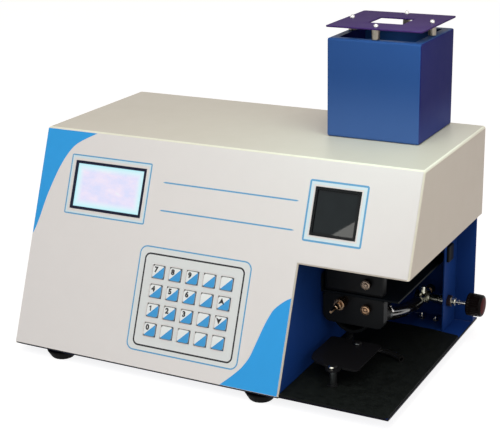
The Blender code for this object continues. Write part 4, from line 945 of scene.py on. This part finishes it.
def makeKeys():
    for name in sorted(nodes):
        if not name.startswith("key_"):
            continue
        local = [panelMatrix.inverted() @ vertex.co for vertex in nodes[name].data.vertices]
        low = Vector([min(point[axis] for point in local) for axis in range(3)])
        high = Vector([max(point[axis] for point in local) for axis in range(3)])
        centre = (low + high) / 2
        place = panelMatrix @ Matrix.Translation((centre.x, centre.y, 0))
        cap = keyMesh(low.z / mm, high.z / mm)
        cap.transform(place)
        shape = bmesh.new()
        shape.from_mesh(cap)
        mark = name.removeprefix("key_")
        extra, (x, y) = keyPrint(mark)
        if extra:
            lift = high.z + (keySize["ink"] / 2 + keySize["inkGap"]) * mm
            extra.transform(place @ Matrix.Translation((x * mm, y * mm, lift)))
            count = len(shape.faces)
            shape.from_mesh(extra)
            shape.faces.ensure_lookup_table()
            for face in shape.faces[count:]:
                face.material_index = 2
        mesh = shapeToMesh(shape, name + "_cap")
        for material in (keyWhite, keyBlue, inkDark, keyWallPaintedShade, keyRimPaintedShade):
            mesh.materials.append(material)
        asPiece("cap_" + mark, mesh, name + "_body", [name], smooth=30)


makeKeys()
print("keys made")


# display

display = {
    "left": 42.9, "top": 31.6, "width": 85.5, "height": 49.9, "inset": 2.65, "lift": -0.36, "thick": 0.03,
    "rim": ((0.0, (0.44, 0.82, 0.95)), (0.14, (0.62, 0.95, 1.0)), (0.5, (0.72, 0.97, 1.0))),
    "blend": (1.5, 10.0),
    "clouds": ((0.35, (0.74, 0.76, 1.0)), (0.5, (0.84, 0.79, 0.99)), (0.62, (0.92, 0.82, 0.97)),
               (0.74, (0.90, 0.93, 1.0))),
    "rimWidth": 10.0, "cloud": (3.5, 3.0, 0.6), "dots": (128.0, 64.0), "dotGap": 0.16, "dotShade": 0.06,
    "glow": 0.88, "base": (0.05, 0.06, 0.08), "roughness": 0.12,
}


def litMaterial():
    # back light brighter and bluer at the edges, lavender white in the middle, a fine grid of dots
    material = bpy.data.materials.new("litDisplay")
    material.use_nodes = True
    tree = material.node_tree
    shader = tree.nodes["Principled BSDF"]
    shader.inputs["Base Color"].default_value = (*display["base"], 1)
    shader.inputs["Roughness"].default_value = display["roughness"]
    shader.inputs["Emission Strength"].default_value = display["glow"]
    spot = addNode(tree, "ShaderNodeUVMap", uv_map="screen").outputs[0]
    split = splitNode(tree, spot)
    edges, dots = [], []
    for axis, size, count in zip("XY", (display["width"], display["height"]), display["dots"]):
        far = mathNode(tree, "SUBTRACT", 1.0, split[axis])
        edges.append(mathNode(tree, "MULTIPLY", mathNode(tree, "MINIMUM", split[axis], far), size))
        part = mathNode(tree, "FRACT", mathNode(tree, "MULTIPLY", split[axis], count))
        dots.append(mathNode(tree, "GREATER_THAN", part, display["dotGap"]))
    near = mathNode(tree, "MINIMUM", edges[0], edges[1])
    rim = rampNode(tree, mathNode(tree, "MULTIPLY", near, 1 / display["rimWidth"]), display["rim"])
    middle = rampNode(tree, noiseNode(tree, spot, *display["cloud"]), display["clouds"])
    lit = mixNode(tree, spreadNode(tree, near, *display["blend"], "SMOOTHSTEP"), rim, middle)
    grid = mathNode(tree, "MULTIPLY_ADD", mathNode(tree, "MULTIPLY", dots[0], dots[1]), display["dotShade"],
                    1 - display["dotShade"])
    tree.links.new(dimNode(tree, lit, grid), shader.inputs["Emission Color"])
    return material


def makeDisplay():
    inset = display["inset"]
    left, top = display["left"] + inset, display["top"] + inset
    right = display["left"] + display["width"] - inset
    bottom = display["top"] + display["height"] - inset
    mesh = printedMesh([[(left, -bottom), (right, -bottom), (right, -top), (left, -top)]], display["thick"])
    layer = mesh.uv_layers.new(name="screen")
    for loop in mesh.loops:
        point = mesh.vertices[loop.vertex_index].co / mm
        layer.data[loop.index].uv = ((point.x - left) / (right - left), (point.y + bottom) / (bottom - top))
    mesh.transform(panelMatrix @ Matrix.Translation((0, 0, display["lift"] * mm)))
    mesh.materials.append(litMaterial())
    asPiece("displayScreen", mesh, "case", smooth=0)


makeDisplay()
print("display lit")


# Geometry Nodes for what repeats

def newGeometryTree(name, inputs):
    geometry = ("Geometry", "Geometry", None)
    return newTree(name, "GeometryNodeTree", [geometry, *inputs, ("Material", "Material", None)], [geometry])


def finishTree(tree, start, end, geometry):
    # instances made real, with their material
    real = addNode(tree, "GeometryNodeRealizeInstances", {0: geometry})
    paint = addNode(tree, "GeometryNodeSetMaterial", {"Geometry": real.outputs[0],
                                                      "Material": start.outputs["Material"]})
    tree.links.new(paint.outputs[0], end.inputs[0])
    return tree


def ridgeTree():
    # straight ridges round a rim, as on a knurled nut
    tree, start, end = newGeometryTree("rimRidges", [
        ("Count", "Int", 24), ("Radius", "Float", 0.005), ("Length", "Float", 0.005),
        ("Depth", "Float", 0.0005), ("Width", "Float", 0.0006), ("Start", "Float", 0.001)])
    given = start.outputs
    ring = addNode(tree, "GeometryNodeMeshCircle", {"Vertices": given["Count"], "Radius": given["Radius"]})
    ridge = addNode(tree, "GeometryNodeMeshCone", {"Vertices": 4, "Radius Top": 0.5, "Radius Bottom": 0.5,
                                                   "Depth": given["Length"]})
    size = addNode(tree, "ShaderNodeCombineXYZ", {"X": given["Depth"], "Y": given["Width"], "Z": 1.0})
    spot = addNode(tree, "GeometryNodeInputPosition").outputs[0]
    turn = addNode(tree, "FunctionNodeAlignRotationToVector", {"Vector": spot}, axis="X", pivot_axis="Z")
    place = addNode(tree, "GeometryNodeInstanceOnPoints", {
        "Points": ring.outputs[0], "Instance": ridge.outputs["Mesh"], "Rotation": turn.outputs[0],
        "Scale": size.outputs[0]})
    up = addNode(tree, "ShaderNodeCombineXYZ", {"Z": given["Start"]})
    lift = addNode(tree, "GeometryNodeTransform", {"Geometry": place.outputs[0],
                                                   "Translation": up.outputs[0]})
    both = addNode(tree, "GeometryNodeJoinGeometry", {0: [given["Geometry"], lift.outputs[0]]})
    return finishTree(tree, start, end, both.outputs[0])


def fastenerTree():
    # one fastener on each point of the mesh it is given, turned one way
    tree, start, end = newGeometryTree("fastenersOnPoints", [
        ("Fastener", "Object", None), ("Turn", "Rotation", None), ("Spin", "Float", 0.6),
        ("Seed", "Int", 3)])
    given = start.outputs
    shape = addNode(tree, "GeometryNodeObjectInfo", {"Object": given["Fastener"]},
                    transform_space="ORIGINAL")
    spin = addNode(tree, "FunctionNodeRandomValue", data_type="FLOAT")
    tree.links.new(given["Spin"], spin.inputs["Max"])
    tree.links.new(given["Seed"], spin.inputs["Seed"])
    angle = next(socket for socket in spin.outputs if socket.type == "VALUE" and socket.enabled)
    own = addNode(tree, "FunctionNodeAxisAngleToRotation", {"Axis": (0, 0, 1), "Angle": angle})
    turn = addNode(tree, "FunctionNodeRotateRotation", {0: given["Turn"], 1: own.outputs[0]},
                   rotation_space="LOCAL")
    place = addNode(tree, "GeometryNodeInstanceOnPoints", {
        "Points": given["Geometry"], "Instance": shape.outputs["Geometry"], "Rotation": turn.outputs[0]})
    return finishTree(tree, start, end, place.outputs[0])


def fluteTree():
    # hollows pressed into the side of a round body, fading out towards both ends
    tree, start, end = newGeometryTree("rimFlutes", [
        ("Flutes", "Float", 24.0), ("Depth", "Float", 0.0005), ("Low", "Float", 0.002),
        ("High", "Float", 0.01), ("Fade", "Float", 0.001), ("Rim", "Float", 0.01)])
    given = start.outputs
    spot = addNode(tree, "GeometryNodeInputPosition").outputs[0]
    split = splitNode(tree, spot)
    angle = mathNode(tree, "ARCTAN2", split["Y"], split["X"])
    wave = mathNode(tree, "COSINE", mathNode(tree, "MULTIPLY", angle, given["Flutes"]))
    depth = mathNode(tree, "POWER", mathNode(tree, "MULTIPLY_ADD", wave, 0.5, 0.5), 2.0)
    depth = mathNode(tree, "MULTIPLY", depth, given["Depth"])
    for label, sign in (("Low", 1.0), ("High", -1.0)):
        away = mathNode(tree, "MULTIPLY", mathNode(tree, "SUBTRACT", split["Z"], given[label]), sign)
        share = addNode(tree, "ShaderNodeClamp", {"Value": mathNode(tree, "DIVIDE", away, given["Fade"])})
        depth = mathNode(tree, "MULTIPLY", depth, share.outputs[0])
    flat = vectorNode(tree, "MULTIPLY", {0: spot, 1: (1, 1, 0)})
    reach = vectorNode(tree, "LENGTH", {0: flat}, "Value")
    depth = mathNode(tree, "MULTIPLY", depth, mathNode(tree, "GREATER_THAN", reach, given["Rim"]))
    way = vectorNode(tree, "NORMALIZE", {0: flat})
    push = vectorNode(tree, "SCALE", {0: way, "Scale": mathNode(tree, "MULTIPLY", depth, -1.0)})
    move = addNode(tree, "GeometryNodeSetPosition", {"Geometry": given["Geometry"], "Offset": push})
    return finishTree(tree, start, end, move.outputs[0])


def tubeTree():
    # round tube along a polyline, its ends closed
    tree, start, end = newGeometryTree("tubeAlongPath", [
        ("Points", "Int", 60), ("Radius", "Float", 0.003), ("Sides", "Int", 24)])
    given = start.outputs
    curve = addNode(tree, "GeometryNodeMeshToCurve", {"Mesh": given["Geometry"]})
    even = addNode(tree, "GeometryNodeResampleCurve", {"Curve": curve.outputs[0], "Count": given["Points"]})
    ring = addNode(tree, "GeometryNodeCurvePrimitiveCircle", {"Resolution": given["Sides"],
                                                              "Radius": given["Radius"]})
    skin = addNode(tree, "GeometryNodeCurveToMesh", {
        "Curve": even.outputs[0], "Profile Curve": ring.outputs[0], "Fill Caps": True})
    return finishTree(tree, start, end, skin.outputs[0])


trees = {"ridges": ridgeTree(), "fasteners": fastenerTree(), "flutes": fluteTree(), "tube": tubeTree()}


def grown(mesh, tree, values):
    # plain mesh of a tree run on a mesh; inputs are set by their identifiers
    holder = bpy.data.objects.new("holder", mesh)
    modifier = holder.modifiers.new("nodes", "NODES")
    modifier.node_group = tree
    for item in tree.interface.items_tree:
        if item.item_type == "SOCKET" and item.in_out == "INPUT" and item.name in values:
            modifier[item.identifier] = values[item.name]
    return meshOf(holder)


def pathMesh(points, edges=True):
    mesh = bpy.data.meshes.new("path")
    pairs = [(index, index + 1) for index in range(len(points) - 1)] if edges else []
    mesh.from_pydata([tuple(point) for point in points], pairs, [])
    return mesh


def blockMesh(size, edge=0.0, steps=2):
    # rounded block about its own centre, sizes in mm
    shape = bmesh.new()
    bmesh.ops.create_cube(shape, size=1.0)
    for vertex in shape.verts:
        vertex.co = Vector([vertex.co[axis] * size[axis] * mm for axis in range(3)])
    if edge:
        bmesh.ops.bevel(shape, geom=shape.edges[:], offset=edge * mm, segments=steps, affect="EDGES",
                        profile=0.5)
    return shapeToMesh(shape, "block")


def carved(mesh, cutters):
    # exact boolean difference with a few meshes
    holder = bpy.data.objects.new("carved", mesh)
    helpers = []
    for cutter in cutters:
        tool = bpy.data.objects.new("cutter", cutter)
        bpy.context.scene.collection.objects.link(tool)
        helpers.append(tool)
        modifier = holder.modifiers.new("cut", "BOOLEAN")
        modifier.operation = "DIFFERENCE"
        modifier.solver = "EXACT"
        modifier.object = tool
    result = meshOf(holder)
    for tool in helpers:
        bpy.data.objects.remove(tool, do_unlink=True)
    return result


# screws and nuts

# sunk is in mm and the dome's angles in degrees; the other values are shares of the head's or nut's size
headShape = {
    "shank": 0.55, "sunk": 0.3, "rim": 0.30, "dome": 0.985, "domeFrom": 20, "domeTo": 80, "domeSteps": 4,
    "recess": 0.5, "arm": 0.16, "cut": 1.1,
}
nutShape = {"face": 0.54, "turned": 0.14}


def panHead(radius, height):
    # domed head with a cross recess, standing on z = 0
    rim = headShape["rim"]
    profile = [(0, -headShape["sunk"]), (radius * headShape["shank"], -headShape["sunk"]),
               (radius * headShape["shank"], 0), (radius, 0), (radius, height * rim)]
    start, end, steps = (headShape[key] for key in ("domeFrom", "domeTo", "domeSteps"))
    for step in range(steps + 1):
        turn = math.radians(start + (end - start) * step / steps)
        rise = math.sin(turn) / math.sin(math.radians(end))
        profile.append((radius * math.cos(turn) * headShape["dome"], height * (rim + (1 - rim) * rise)))
    profile.append((0, height))
    arms = []
    for turn in (0, 90):
        arm = blockMesh((radius * 2 * headShape["recess"], radius * 2 * headShape["arm"],
                         height * headShape["cut"]))
        arm.transform(Matrix.Translation((0, 0, height * mm)) @ Matrix.Rotation(math.radians(turn), 4, "Z"))
        arms.append(arm)
    return carved(turnedMesh(profile, sides=32), arms)


def hexNut(across, height):
    # six-sided nut with its corners turned off, standing on z = 0
    face, corner, turned = across * nutShape["face"], across / math.sqrt(3), nutShape["turned"]
    levels = ((face, 0), (corner, height * turned), (corner, height * (1 - turned)), (face, height))
    turns = [math.radians(60 * step) for step in range(6)]
    return loft([[(radius * mm * math.cos(turn), radius * mm * math.sin(turn), level * mm) for turn in turns]
                 for radius, level in levels])


def placeFasteners(name, head, places, facing, material, spin=0.6):
    # one piece of fasteners on places in the case's millimetres, each turned on its axis by up to the spin
    head.materials.clear()
    shape = bpy.data.objects.new("fastener", head)
    bpy.context.scene.collection.objects.link(shape)
    turn = Vector((0, 0, 1)).rotation_difference(Vector(facing))
    spots = pathMesh([casePoint(*place) for place in places], edges=False)
    mesh = grown(spots, trees["fasteners"], {"Fastener": shape, "Turn": turn.to_euler(), "Spin": spin,
                                             "Material": material})
    bpy.data.objects.remove(shape, do_unlink=True)
    asPiece(name, mesh, "case", smooth=40)


# heat shield: plate, spacers and their screws

shield = {
    "thick": 1.5, "corner": 3.0, "cornerSteps": 6, "hole": 36.0, "holeCorner": 0.6, "edge": 0.35,
    "spacer": 4.0, "spacerEdge": 0.4, "spacerGap": 0.3, "head": 2.4, "headHeight": 3.6, "spin": 1.4,
    "inset": 6.5,
}


def squareRing(half, corner, level):
    loop = roundedLoop(-half, -half, half, half, corner, shield["cornerSteps"])
    return [(x * mm, y * mm, level * mm) for x, y in loop]


def makeHeatShield():
    low, high = boxOf("heat_shield")
    postLow, postHigh = boxOf("chimney")
    middle = (low + high) / 2
    half = (high.x - low.x) / 2
    top = high.z - shield["headHeight"]
    bottom = top - shield["thick"]
    edge = shield["edge"]
    outer, inner = [], []
    for grow, level in ((-edge, bottom), (0, bottom + edge), (0, top - edge), (-edge, top)):
        outer.append(squareRing(half + grow, shield["corner"] + grow, level))
        inner.append(squareRing(shield["hole"] / 2 - grow, shield["holeCorner"] - grow, level))
    shape = bmesh.new()
    skinRings(shape, outer + inner[::-1], closed=True)
    plate = shapeToMesh(shape, "shieldPlate")
    plate.transform(Matrix.Translation(casePoint(middle.x, middle.y, 0)))
    plate.materials.append(shieldPaint)
    asPiece("shieldPlate", plate, "case", ["heat_shield"], smooth=30)

    reach = (postHigh.x - postLow.x) / 2 - shield["inset"]
    spots = [(middle.x + across * reach, middle.y + along * reach)
             for across, along in ((0, -1), (-1, 0), (0, 1), (1, 0))]
    radius, turned, gap = shield["spacer"], shield["spacerEdge"], shield["spacerGap"]
    tall = bottom - postHigh.z - 2 * gap
    profile = [(0, 0), (radius - turned, 0), (radius, turned), (radius, tall - turned),
               (radius - turned, tall), (0, tall)]
    placeFasteners("shieldSpacers", turnedMesh(profile, sides=32),
                   [(x, y, postHigh.z + gap) for x, y in spots], (0, 0, 1), spacerMetal)
    placeFasteners("shieldScrews", panHead(shield["head"], shield["headHeight"]),
                   [(x, y, top) for x, y in spots], (0, 0, 1), steelBright,
                   shield["spin"])


makeHeatShield()
print("heat shield made")


# nebuliser and thumb nuts

nebuliser = {
    "profile": [(0, -9.5), (3.0, -9.5), (3.0, 0), (4.0, 0), (4.0, 5.9), (4.9, 5.9), (5.35, 6.35),
                (5.35, 15.05), (4.9, 15.5), (3.9, 15.5), (3.6, 15.2), (3.4, 15.2), (3.2, 15.9), (3.2, 18.4),
                (2.7, 18.9), (2.3, 23.5), (1.7, 24.0), (1.3, 33.9), (1.1, 34.5), (0.6, 34.5), (0.6, 32.5),
                (0, 32.5)],
    "ridges": 46, "rim": 5.42, "ridgeDepth": 0.6, "ridgeWidth": 0.62, "length": 8.2, "middle": 10.7,
    "reach": 34.5,
}
thumbNut = {
    "profile": [(0, -4.5), (2.2, -4.5), (2.2, 0), (3.9, 0), (4.35, 0.45), (4.35, 5.6), (4.15, 5.95),
                (3.7, 6.2), (3.1, 6.2), (2.8, 5.7), (1.9, 5.5), (1.8, 6.0), (1.5, 6.3), (0.9, 6.45),
                (0, 6.5)],
    "ridges": 38, "rim": 4.42, "ridgeDepth": 0.6, "ridgeWidth": 0.6, "length": 4.7, "middle": 3.0,
    "reach": 6.5,
}


def knurledPiece(name, recipe, node, material):
    # turned core with ridges, facing the front, its foremost point where the node's is
    low, high = boxOf(node)
    core = grown(turnedMesh(recipe["profile"]), trees["ridges"], {
        "Count": recipe["ridges"], "Radius": recipe["rim"] * mm, "Length": recipe["length"] * mm,
        "Depth": recipe["ridgeDepth"] * mm, "Width": recipe["ridgeWidth"] * mm,
        "Start": (recipe["middle"] - recipe["length"] / 2) * mm, "Material": material})
    across, up = (low.x + high.x) / 2, (low.z + high.z) / 2
    core.transform(caseMatrix(across, low.y + recipe["reach"], up, (0, -1, 0)))
    asPiece(name, core, "case", [node], smooth=35)


knurledPiece("nebuliserTurned", nebuliser, "nebuliser", brassDark)
# the upper nut in the darker brass: painted shade
knurledPiece("upperNutKnurled", thumbNut, "upper_thumb_nut", brassInPaintedShade)
knurledPiece("lowerNutKnurled", thumbNut, "lower_thumb_nut", brassOld)
print("nebuliser and nuts made")


# gas knob, its cap and spindle

knob = {
    "radius": 11.6, "skirt": 0.4, "round": 2.2, "cap": 9.2, "dome": 0.8, "groove": 0.5, "spindle": 2.6,
    "flutes": 24.0, "depth": 0.55, "low": 1.6, "high": 13.6, "fade": 1.6, "foot": 1.2, "footEdge": 0.5,
    "rows": 14, "ringAt": (-9.6, -9.3, -8.7, -8.4), "ringDepth": 0.35, "spindleEdge": 0.3, "core": 6,
    "skirtEdge": 0.3, "roundSteps": 5, "grooveTop": 0.25, "grooveFoot": 0.15, "rimIn": 1.0, "gap": 0.02,
    "capEdge": 0.2, "capSteps": 5, "capFrom": 0.22, "capSpread": 0.76, "capDrop": 0.75,
}


def knobStart(low, high):
    # where the knob's body begins: the lowest x of the points out on its rim
    centre = Vector(((low.y + high.y) / 2, (low.z + high.z) / 2))
    rim = [(vertex.co - caseOrigin) / mm for vertex in nodes["gas_knob"].data.vertices]
    return min(point.x for point in rim if (Vector((point.y, point.z)) - centre).length > knob["core"])


def knobBody(shoulder):
    radius, turnIn, foot, skirt = knob["radius"], knob["round"], knob["foot"], knob["skirt"]
    profile = [(0, 0), (radius - foot, 0), (radius + skirt - knob["skirtEdge"], knob["footEdge"]),
               (radius + skirt, foot)]
    for step in range(1, knob["rows"] + 1):
        share = step / knob["rows"]
        profile.append((radius + skirt * (1 - share), foot + (shoulder - turnIn - foot) * share))
    for step in range(1, knob["roundSteps"] + 1):
        turn = math.radians(90 * step / knob["roundSteps"])
        profile.append((radius - turnIn * (1 - math.cos(turn)), shoulder - turnIn * (1 - math.sin(turn))))
    sunk = shoulder - knob["groove"]
    profile += [(knob["cap"] + knob["grooveTop"], shoulder), (knob["cap"] + knob["grooveFoot"], sunk),
                (0, sunk)]
    return grown(turnedMesh(profile, sides=192), trees["flutes"], {
        "Flutes": knob["flutes"], "Depth": knob["depth"] * mm, "Low": knob["low"] * mm,
        "High": knob["high"] * mm, "Fade": knob["fade"] * mm, "Rim": (radius - knob["rimIn"]) * mm,
        "Material": knobBlack})


def knobCap(base, length):
    cap, edge, steps = knob["cap"], knob["capEdge"], knob["capSteps"]
    profile = [(0, base), (cap - edge, base), (cap, base + edge)]
    for step in range(steps + 1):
        share = 1 - step / steps
        profile.append((cap * (knob["capFrom"] + knob["capSpread"] * share),
                        length - knob["dome"] * share ** 2 * knob["capDrop"]))
    profile.append((0, length))
    return turnedMesh(profile, sides=64)


def knobSpindle(start):
    radius, edge = knob["spindle"], knob["spindleEdge"]
    first, second, third, fourth = knob["ringAt"]
    profile = [(0, start), (radius - edge, start), (radius, start + edge), (radius, first),
               (radius - knob["ringDepth"], second), (radius - knob["ringDepth"], third), (radius, fourth),
               (radius, -knob["gap"]), (0, -knob["gap"])]
    return turnedMesh(profile, sides=32)


def makeKnob():
    low, high = boxOf("gas_knob")
    start = knobStart(low, high)
    length = high.x - start
    shoulder = length - knob["dome"]
    place = caseMatrix(start, (low.y + high.y) / 2, (low.z + high.z) / 2, (1, 0, 0))
    body = knobBody(shoulder)
    body.transform(place)
    asPiece("knobBody", body, "knob", ["gas_knob"], smooth=35)
    for name, mesh, material, slot in (
            ("knobCap", knobCap(shoulder - knob["groove"] + knob["gap"], length), knobRed, "knob_plastic"),
            ("knobSpindle", knobSpindle(low.x - start), steelBright, "burner_steel")):
        mesh.materials.append(material)
        mesh.transform(place)
        asPiece(name, mesh, "knob", smooth=35)


makeKnob()
print("knob made")


# hoses

gasHose = {
    "start": (371.8, 121.7, 33.0), "end": (366.0, 43.3, 48.41), "ease": 1.6, "radius": 6.75, "steps": 40,
    "points": 64, "sides": 36,
    "bandStep": 0.01, "bandWidth": 4.5, "band": 6.79, "bandEdge": 0.05, "bandSunk": 0.1, "bandAt": 0.965,
    "drive": (6.5, 4.6, 2.6), "driveEdge": 0.8, "driveSide": (0.72, 0.0, 0.69), "driveLift": 7.9,
    "driveHead": 2.0, "driveHeadHeight": 1.5,
}
drainHose = {
    "heading": 30.0, "sweep": 70.0, "bend": 43.0, "outer": 3.1, "inner": 2.05, "points": 24, "sides": 28,
    "start": (339.755, 37.2, 7.5),
}


def gasPoint(along):
    start, end = Vector(gasHose["start"]), Vector(gasHose["end"])
    ease = along ** gasHose["ease"]
    return Vector((start.x + (end.x - start.x) * ease, start.y + (end.y - start.y) * along,
                   start.z + (end.z - start.z) * ease))


def hollowTube(points, outer, inner, sides):
    # tube with a bore, swept with frames that don't twist
    rows, normal = [], None
    for index, point in enumerate(points):
        ahead = (points[min(index + 1, len(points) - 1)] - points[max(index - 1, 0)]).normalized()
        if normal is None:
            normal = ahead.orthogonal().normalized()
        normal = (normal - ahead * normal.dot(ahead)).normalized()
        rows.append((point, normal.copy(), ahead.cross(normal)))
    turns = [2 * math.pi * step / sides for step in range(sides)]
    rings = [[point + (across * math.cos(turn) + side * math.sin(turn)) * radius for turn in turns]
             for radius, order in ((outer, rows), (inner, rows[::-1])) for point, across, side in order]
    shape = bmesh.new()
    skinRings(shape, rings, closed=True)
    return shapeToMesh(shape, "hollowTube")


def closeBand(mesh):
    # joins the two open rims of a turned band by its bore
    shape = bmesh.new()
    shape.from_mesh(mesh)
    rims = [edge for edge in shape.edges if edge.is_boundary]
    bmesh.ops.bridge_loops(shape, edges=rims)
    bmesh.ops.recalc_face_normals(shape, faces=shape.faces)
    shape.to_mesh(mesh)
    shape.free()
    return mesh


def makeGasHose():
    steps = gasHose["steps"]
    path = pathMesh([casePoint(*gasPoint(step / steps)) for step in range(steps + 1)])
    hose = grown(path, trees["tube"], {"Points": gasHose["points"], "Radius": gasHose["radius"] * mm,
                                       "Sides": gasHose["sides"], "Material": hoseBlack})
    asPiece("gasTube", hose, "case", ["gas_hose"], smooth=50)


def makeHoseBand():
    # the clamp's band, its screw housing and screw, near the hose's end
    spot = gasPoint(gasHose["bandAt"])
    ahead = (gasPoint(gasHose["bandAt"] + gasHose["bandStep"]) - spot).normalized()
    half, bore = gasHose["bandWidth"] / 2, gasHose["radius"] - gasHose["bandSunk"]
    profile = [(bore, -half), (gasHose["band"], -half + gasHose["bandEdge"]),
               (gasHose["band"], half - gasHose["bandEdge"]), (bore, half)]
    out = Vector(gasHose["driveSide"])
    out = (out - ahead * out.dot(ahead)).normalized()
    along = ahead.cross(out)
    drive = Matrix((along, ahead, out)).transposed().to_4x4()
    drive.translation = casePoint(*(spot + out * gasHose["driveLift"]))
    head = spot + out * gasHose["driveLift"] + along * gasHose["drive"][0] / 2
    screw = panHead(gasHose["driveHead"], gasHose["driveHeadHeight"])
    parts = [(closeBand(turnedMesh(profile, sides=40)), caseMatrix(*spot, tuple(ahead)), postDark),
             (blockMesh(gasHose["drive"], gasHose["driveEdge"], steps=3), drive, steelBright),
             (screw, caseMatrix(*head, tuple(along)), steelBright)]
    asPiece("hoseBand", joinMeshes("hoseBand", parts), "case", smooth=35)


def makeDrainHose():
    turnStart = math.radians(90 + drainHose["heading"])
    start = Vector(drainHose["start"])
    centre = start - Vector((math.cos(turnStart), math.sin(turnStart), 0)) * drainHose["bend"]
    route = []
    for step in range(drainHose["points"]):
        turn = turnStart - math.radians(drainHose["sweep"]) * step / (drainHose["points"] - 1)
        route.append(casePoint(*(centre + Vector((math.cos(turn), math.sin(turn), 0)) * drainHose["bend"])))
    tube = hollowTube(route, drainHose["outer"] * mm, drainHose["inner"] * mm, drainHose["sides"])
    tube.materials.append(drainRubber)
    piece = asPiece("drainTube", tube, "case", ["drain_hose"], smooth=50)


makeGasHose()
makeHoseBand()
makeDrainHose()
print("hoses made")


# small fasteners

fasteners = {
    "tableHead": 4.3, "tableHeight": 1.9, "tableSunk": 0.05, "tableTop": 0.05, "tableSpin": 1.2,
    "stud": 1.5, "studs": ((367.8, 150.0, 10.0), (383.2, 150.0, 8.0)), "foot": 1.2,
    "pitch": 0.5, "thread": 0.2, "crest": 0.1, "root": 0.35, "tip": 0.3, "plainEnd": 0.4,
    "washer": 3.4, "washerHeight": 0.6, "washerGap": 0.02, "studNut": 5.5, "studNutHeight": 2.4,
    "rearHead": 2.9, "rearHeight": 1.3, "baseHead": 3.0, "spin": 1.5,
    "rear": ((10, 10), (10, 108), (10, 205), (140, 205), (280, 205), (410, 205), (410, 132), (300, 10),
             (150, 10), (300, 108)),
    "base": ((20, -60), (20, 150), (160, -60), (160, 160), (295, -30), (295, 130), (400, -60), (400, 150)),
}


def makeTableScrews():
    # heads on the sample table's two screws, the front one bright, the back one in dark metal as painted
    # shade
    low, high = boxOf("sample_table")
    spots = [(vertex.co - caseOrigin) / mm for vertex in nodes["sample_table"].data.vertices]
    tops = [point for point in spots if point.z > high.z - fasteners["tableTop"]]
    front = [point for point in tops if point.y < (low.y + high.y) / 2]
    back = [point for point in tops if point.y >= (low.y + high.y) / 2]
    height = fasteners["tableHeight"]
    for name, group, finishUsed in (("tableScrew", front, nickel), ("tableScrewBack", back, postDark)):
        x, y = sum(point.x for point in group) / len(group), sum(point.y for point in group) / len(group)
        head = panHead(fasteners["tableHead"], height + fasteners["tableSunk"])
        placeFasteners(name, head, [(x, y, high.z - height)], (0, 0, 1), finishUsed,
                       fasteners["tableSpin"])


def makeStuds():
    # studs and nuts that hold the valve plate's foot to the floor
    base = boxOf("valve_plate")[0].z + fasteners["foot"]
    radius, pitch = fasteners["stud"], fasteners["pitch"]
    washer = [(0, fasteners["washerGap"]), (fasteners["washer"], fasteners["washerGap"]),
              (fasteners["washer"], fasteners["washerHeight"]), (0, fasteners["washerHeight"])]
    parts = []
    for x, y, top in fasteners["studs"]:
        stud = [(0, 0), (radius, 0)]
        for step in range(int((top - base - fasteners["plainEnd"]) / pitch)):
            stud += [(radius, step * pitch + fasteners["crest"]),
                     (radius - fasteners["thread"], step * pitch + fasteners["root"])]
        stud += [(radius - fasteners["tip"], top - base), (0, top - base)]
        nut = hexNut(fasteners["studNut"], fasteners["studNutHeight"])
        parts.append((turnedMesh(stud, sides=24), caseMatrix(x, y, base), steelBright))
        parts.append((turnedMesh(washer, sides=32), caseMatrix(x, y, base), spacerMetal))
        parts.append((nut, caseMatrix(x, y, base + fasteners["washerHeight"]), steelBright))
    asPiece("plateStuds", joinMeshes("plateStuds", parts), "case", smooth=35)


def makePanelScrews():
    # rear panel and bottom plate
    rear = boxOf("rear_panel")[1].y
    bottom = boxOf("chassis")[0].z
    placeFasteners("rearScrews", panHead(fasteners["rearHead"], fasteners["rearHeight"]),
                   [(x, rear, z) for x, z in fasteners["rear"]], (0, 1, 0), coreSteel,
                   fasteners["spin"])
    placeFasteners("baseScrews", panHead(fasteners["baseHead"], fasteners["rearHeight"]),
                   [(x, y, bottom) for x, y in fasteners["base"]], (0, 0, -1), coreSteel,
                   fasteners["spin"])


makeTableScrews()
makeStuds()
makePanelScrews()
print("fasteners placed")


# the rocker's signs

rocker = {"bar": (0.7, 3.4), "ring": 3.4, "stroke": 0.6, "ink": 0.03}


def makeRockerMarks():
    # a bar above and a ring below, the plain signs for on and off, each on its own face of the rocker
    faces = nodes["power_switch"].data.polygons
    outer = [face for face in faces if face.normal.y > normalShare["mostly"]]
    width, height = rocker["bar"]
    half = rocker["ring"] / 2
    bar = [[(x * width / 2, y * height / 2) for x, y in squareCorners]]
    ring = frameLine((-half, -half, half, half), half, rocker["stroke"])
    middle = sum(face.center.z for face in outer) / len(outer)
    parts = []
    for group, loops in (([face for face in outer if face.center.z > middle], bar),
                         ([face for face in outer if face.center.z <= middle], ring)):
        normal = sum((face.normal * face.area for face in group), Vector()).normalized()
        area = sum(face.area for face in group)
        centre = sum((face.center * face.area for face in group), Vector()) / area
        up = (Vector((0, 0, 1)) - normal * normal.z).normalized()
        place = Matrix((up.cross(normal), up, normal)).transposed().to_4x4()
        place.translation = centre + normal * rocker["ink"] * mm / 2
        parts.append((printedMesh(loops, rocker["ink"]), place, inkWhite))
    asPiece("rockerMarks", joinMeshes("rockerMarks", parts), "rocker", smooth=0)


makeRockerMarks()
print("rocker marked")

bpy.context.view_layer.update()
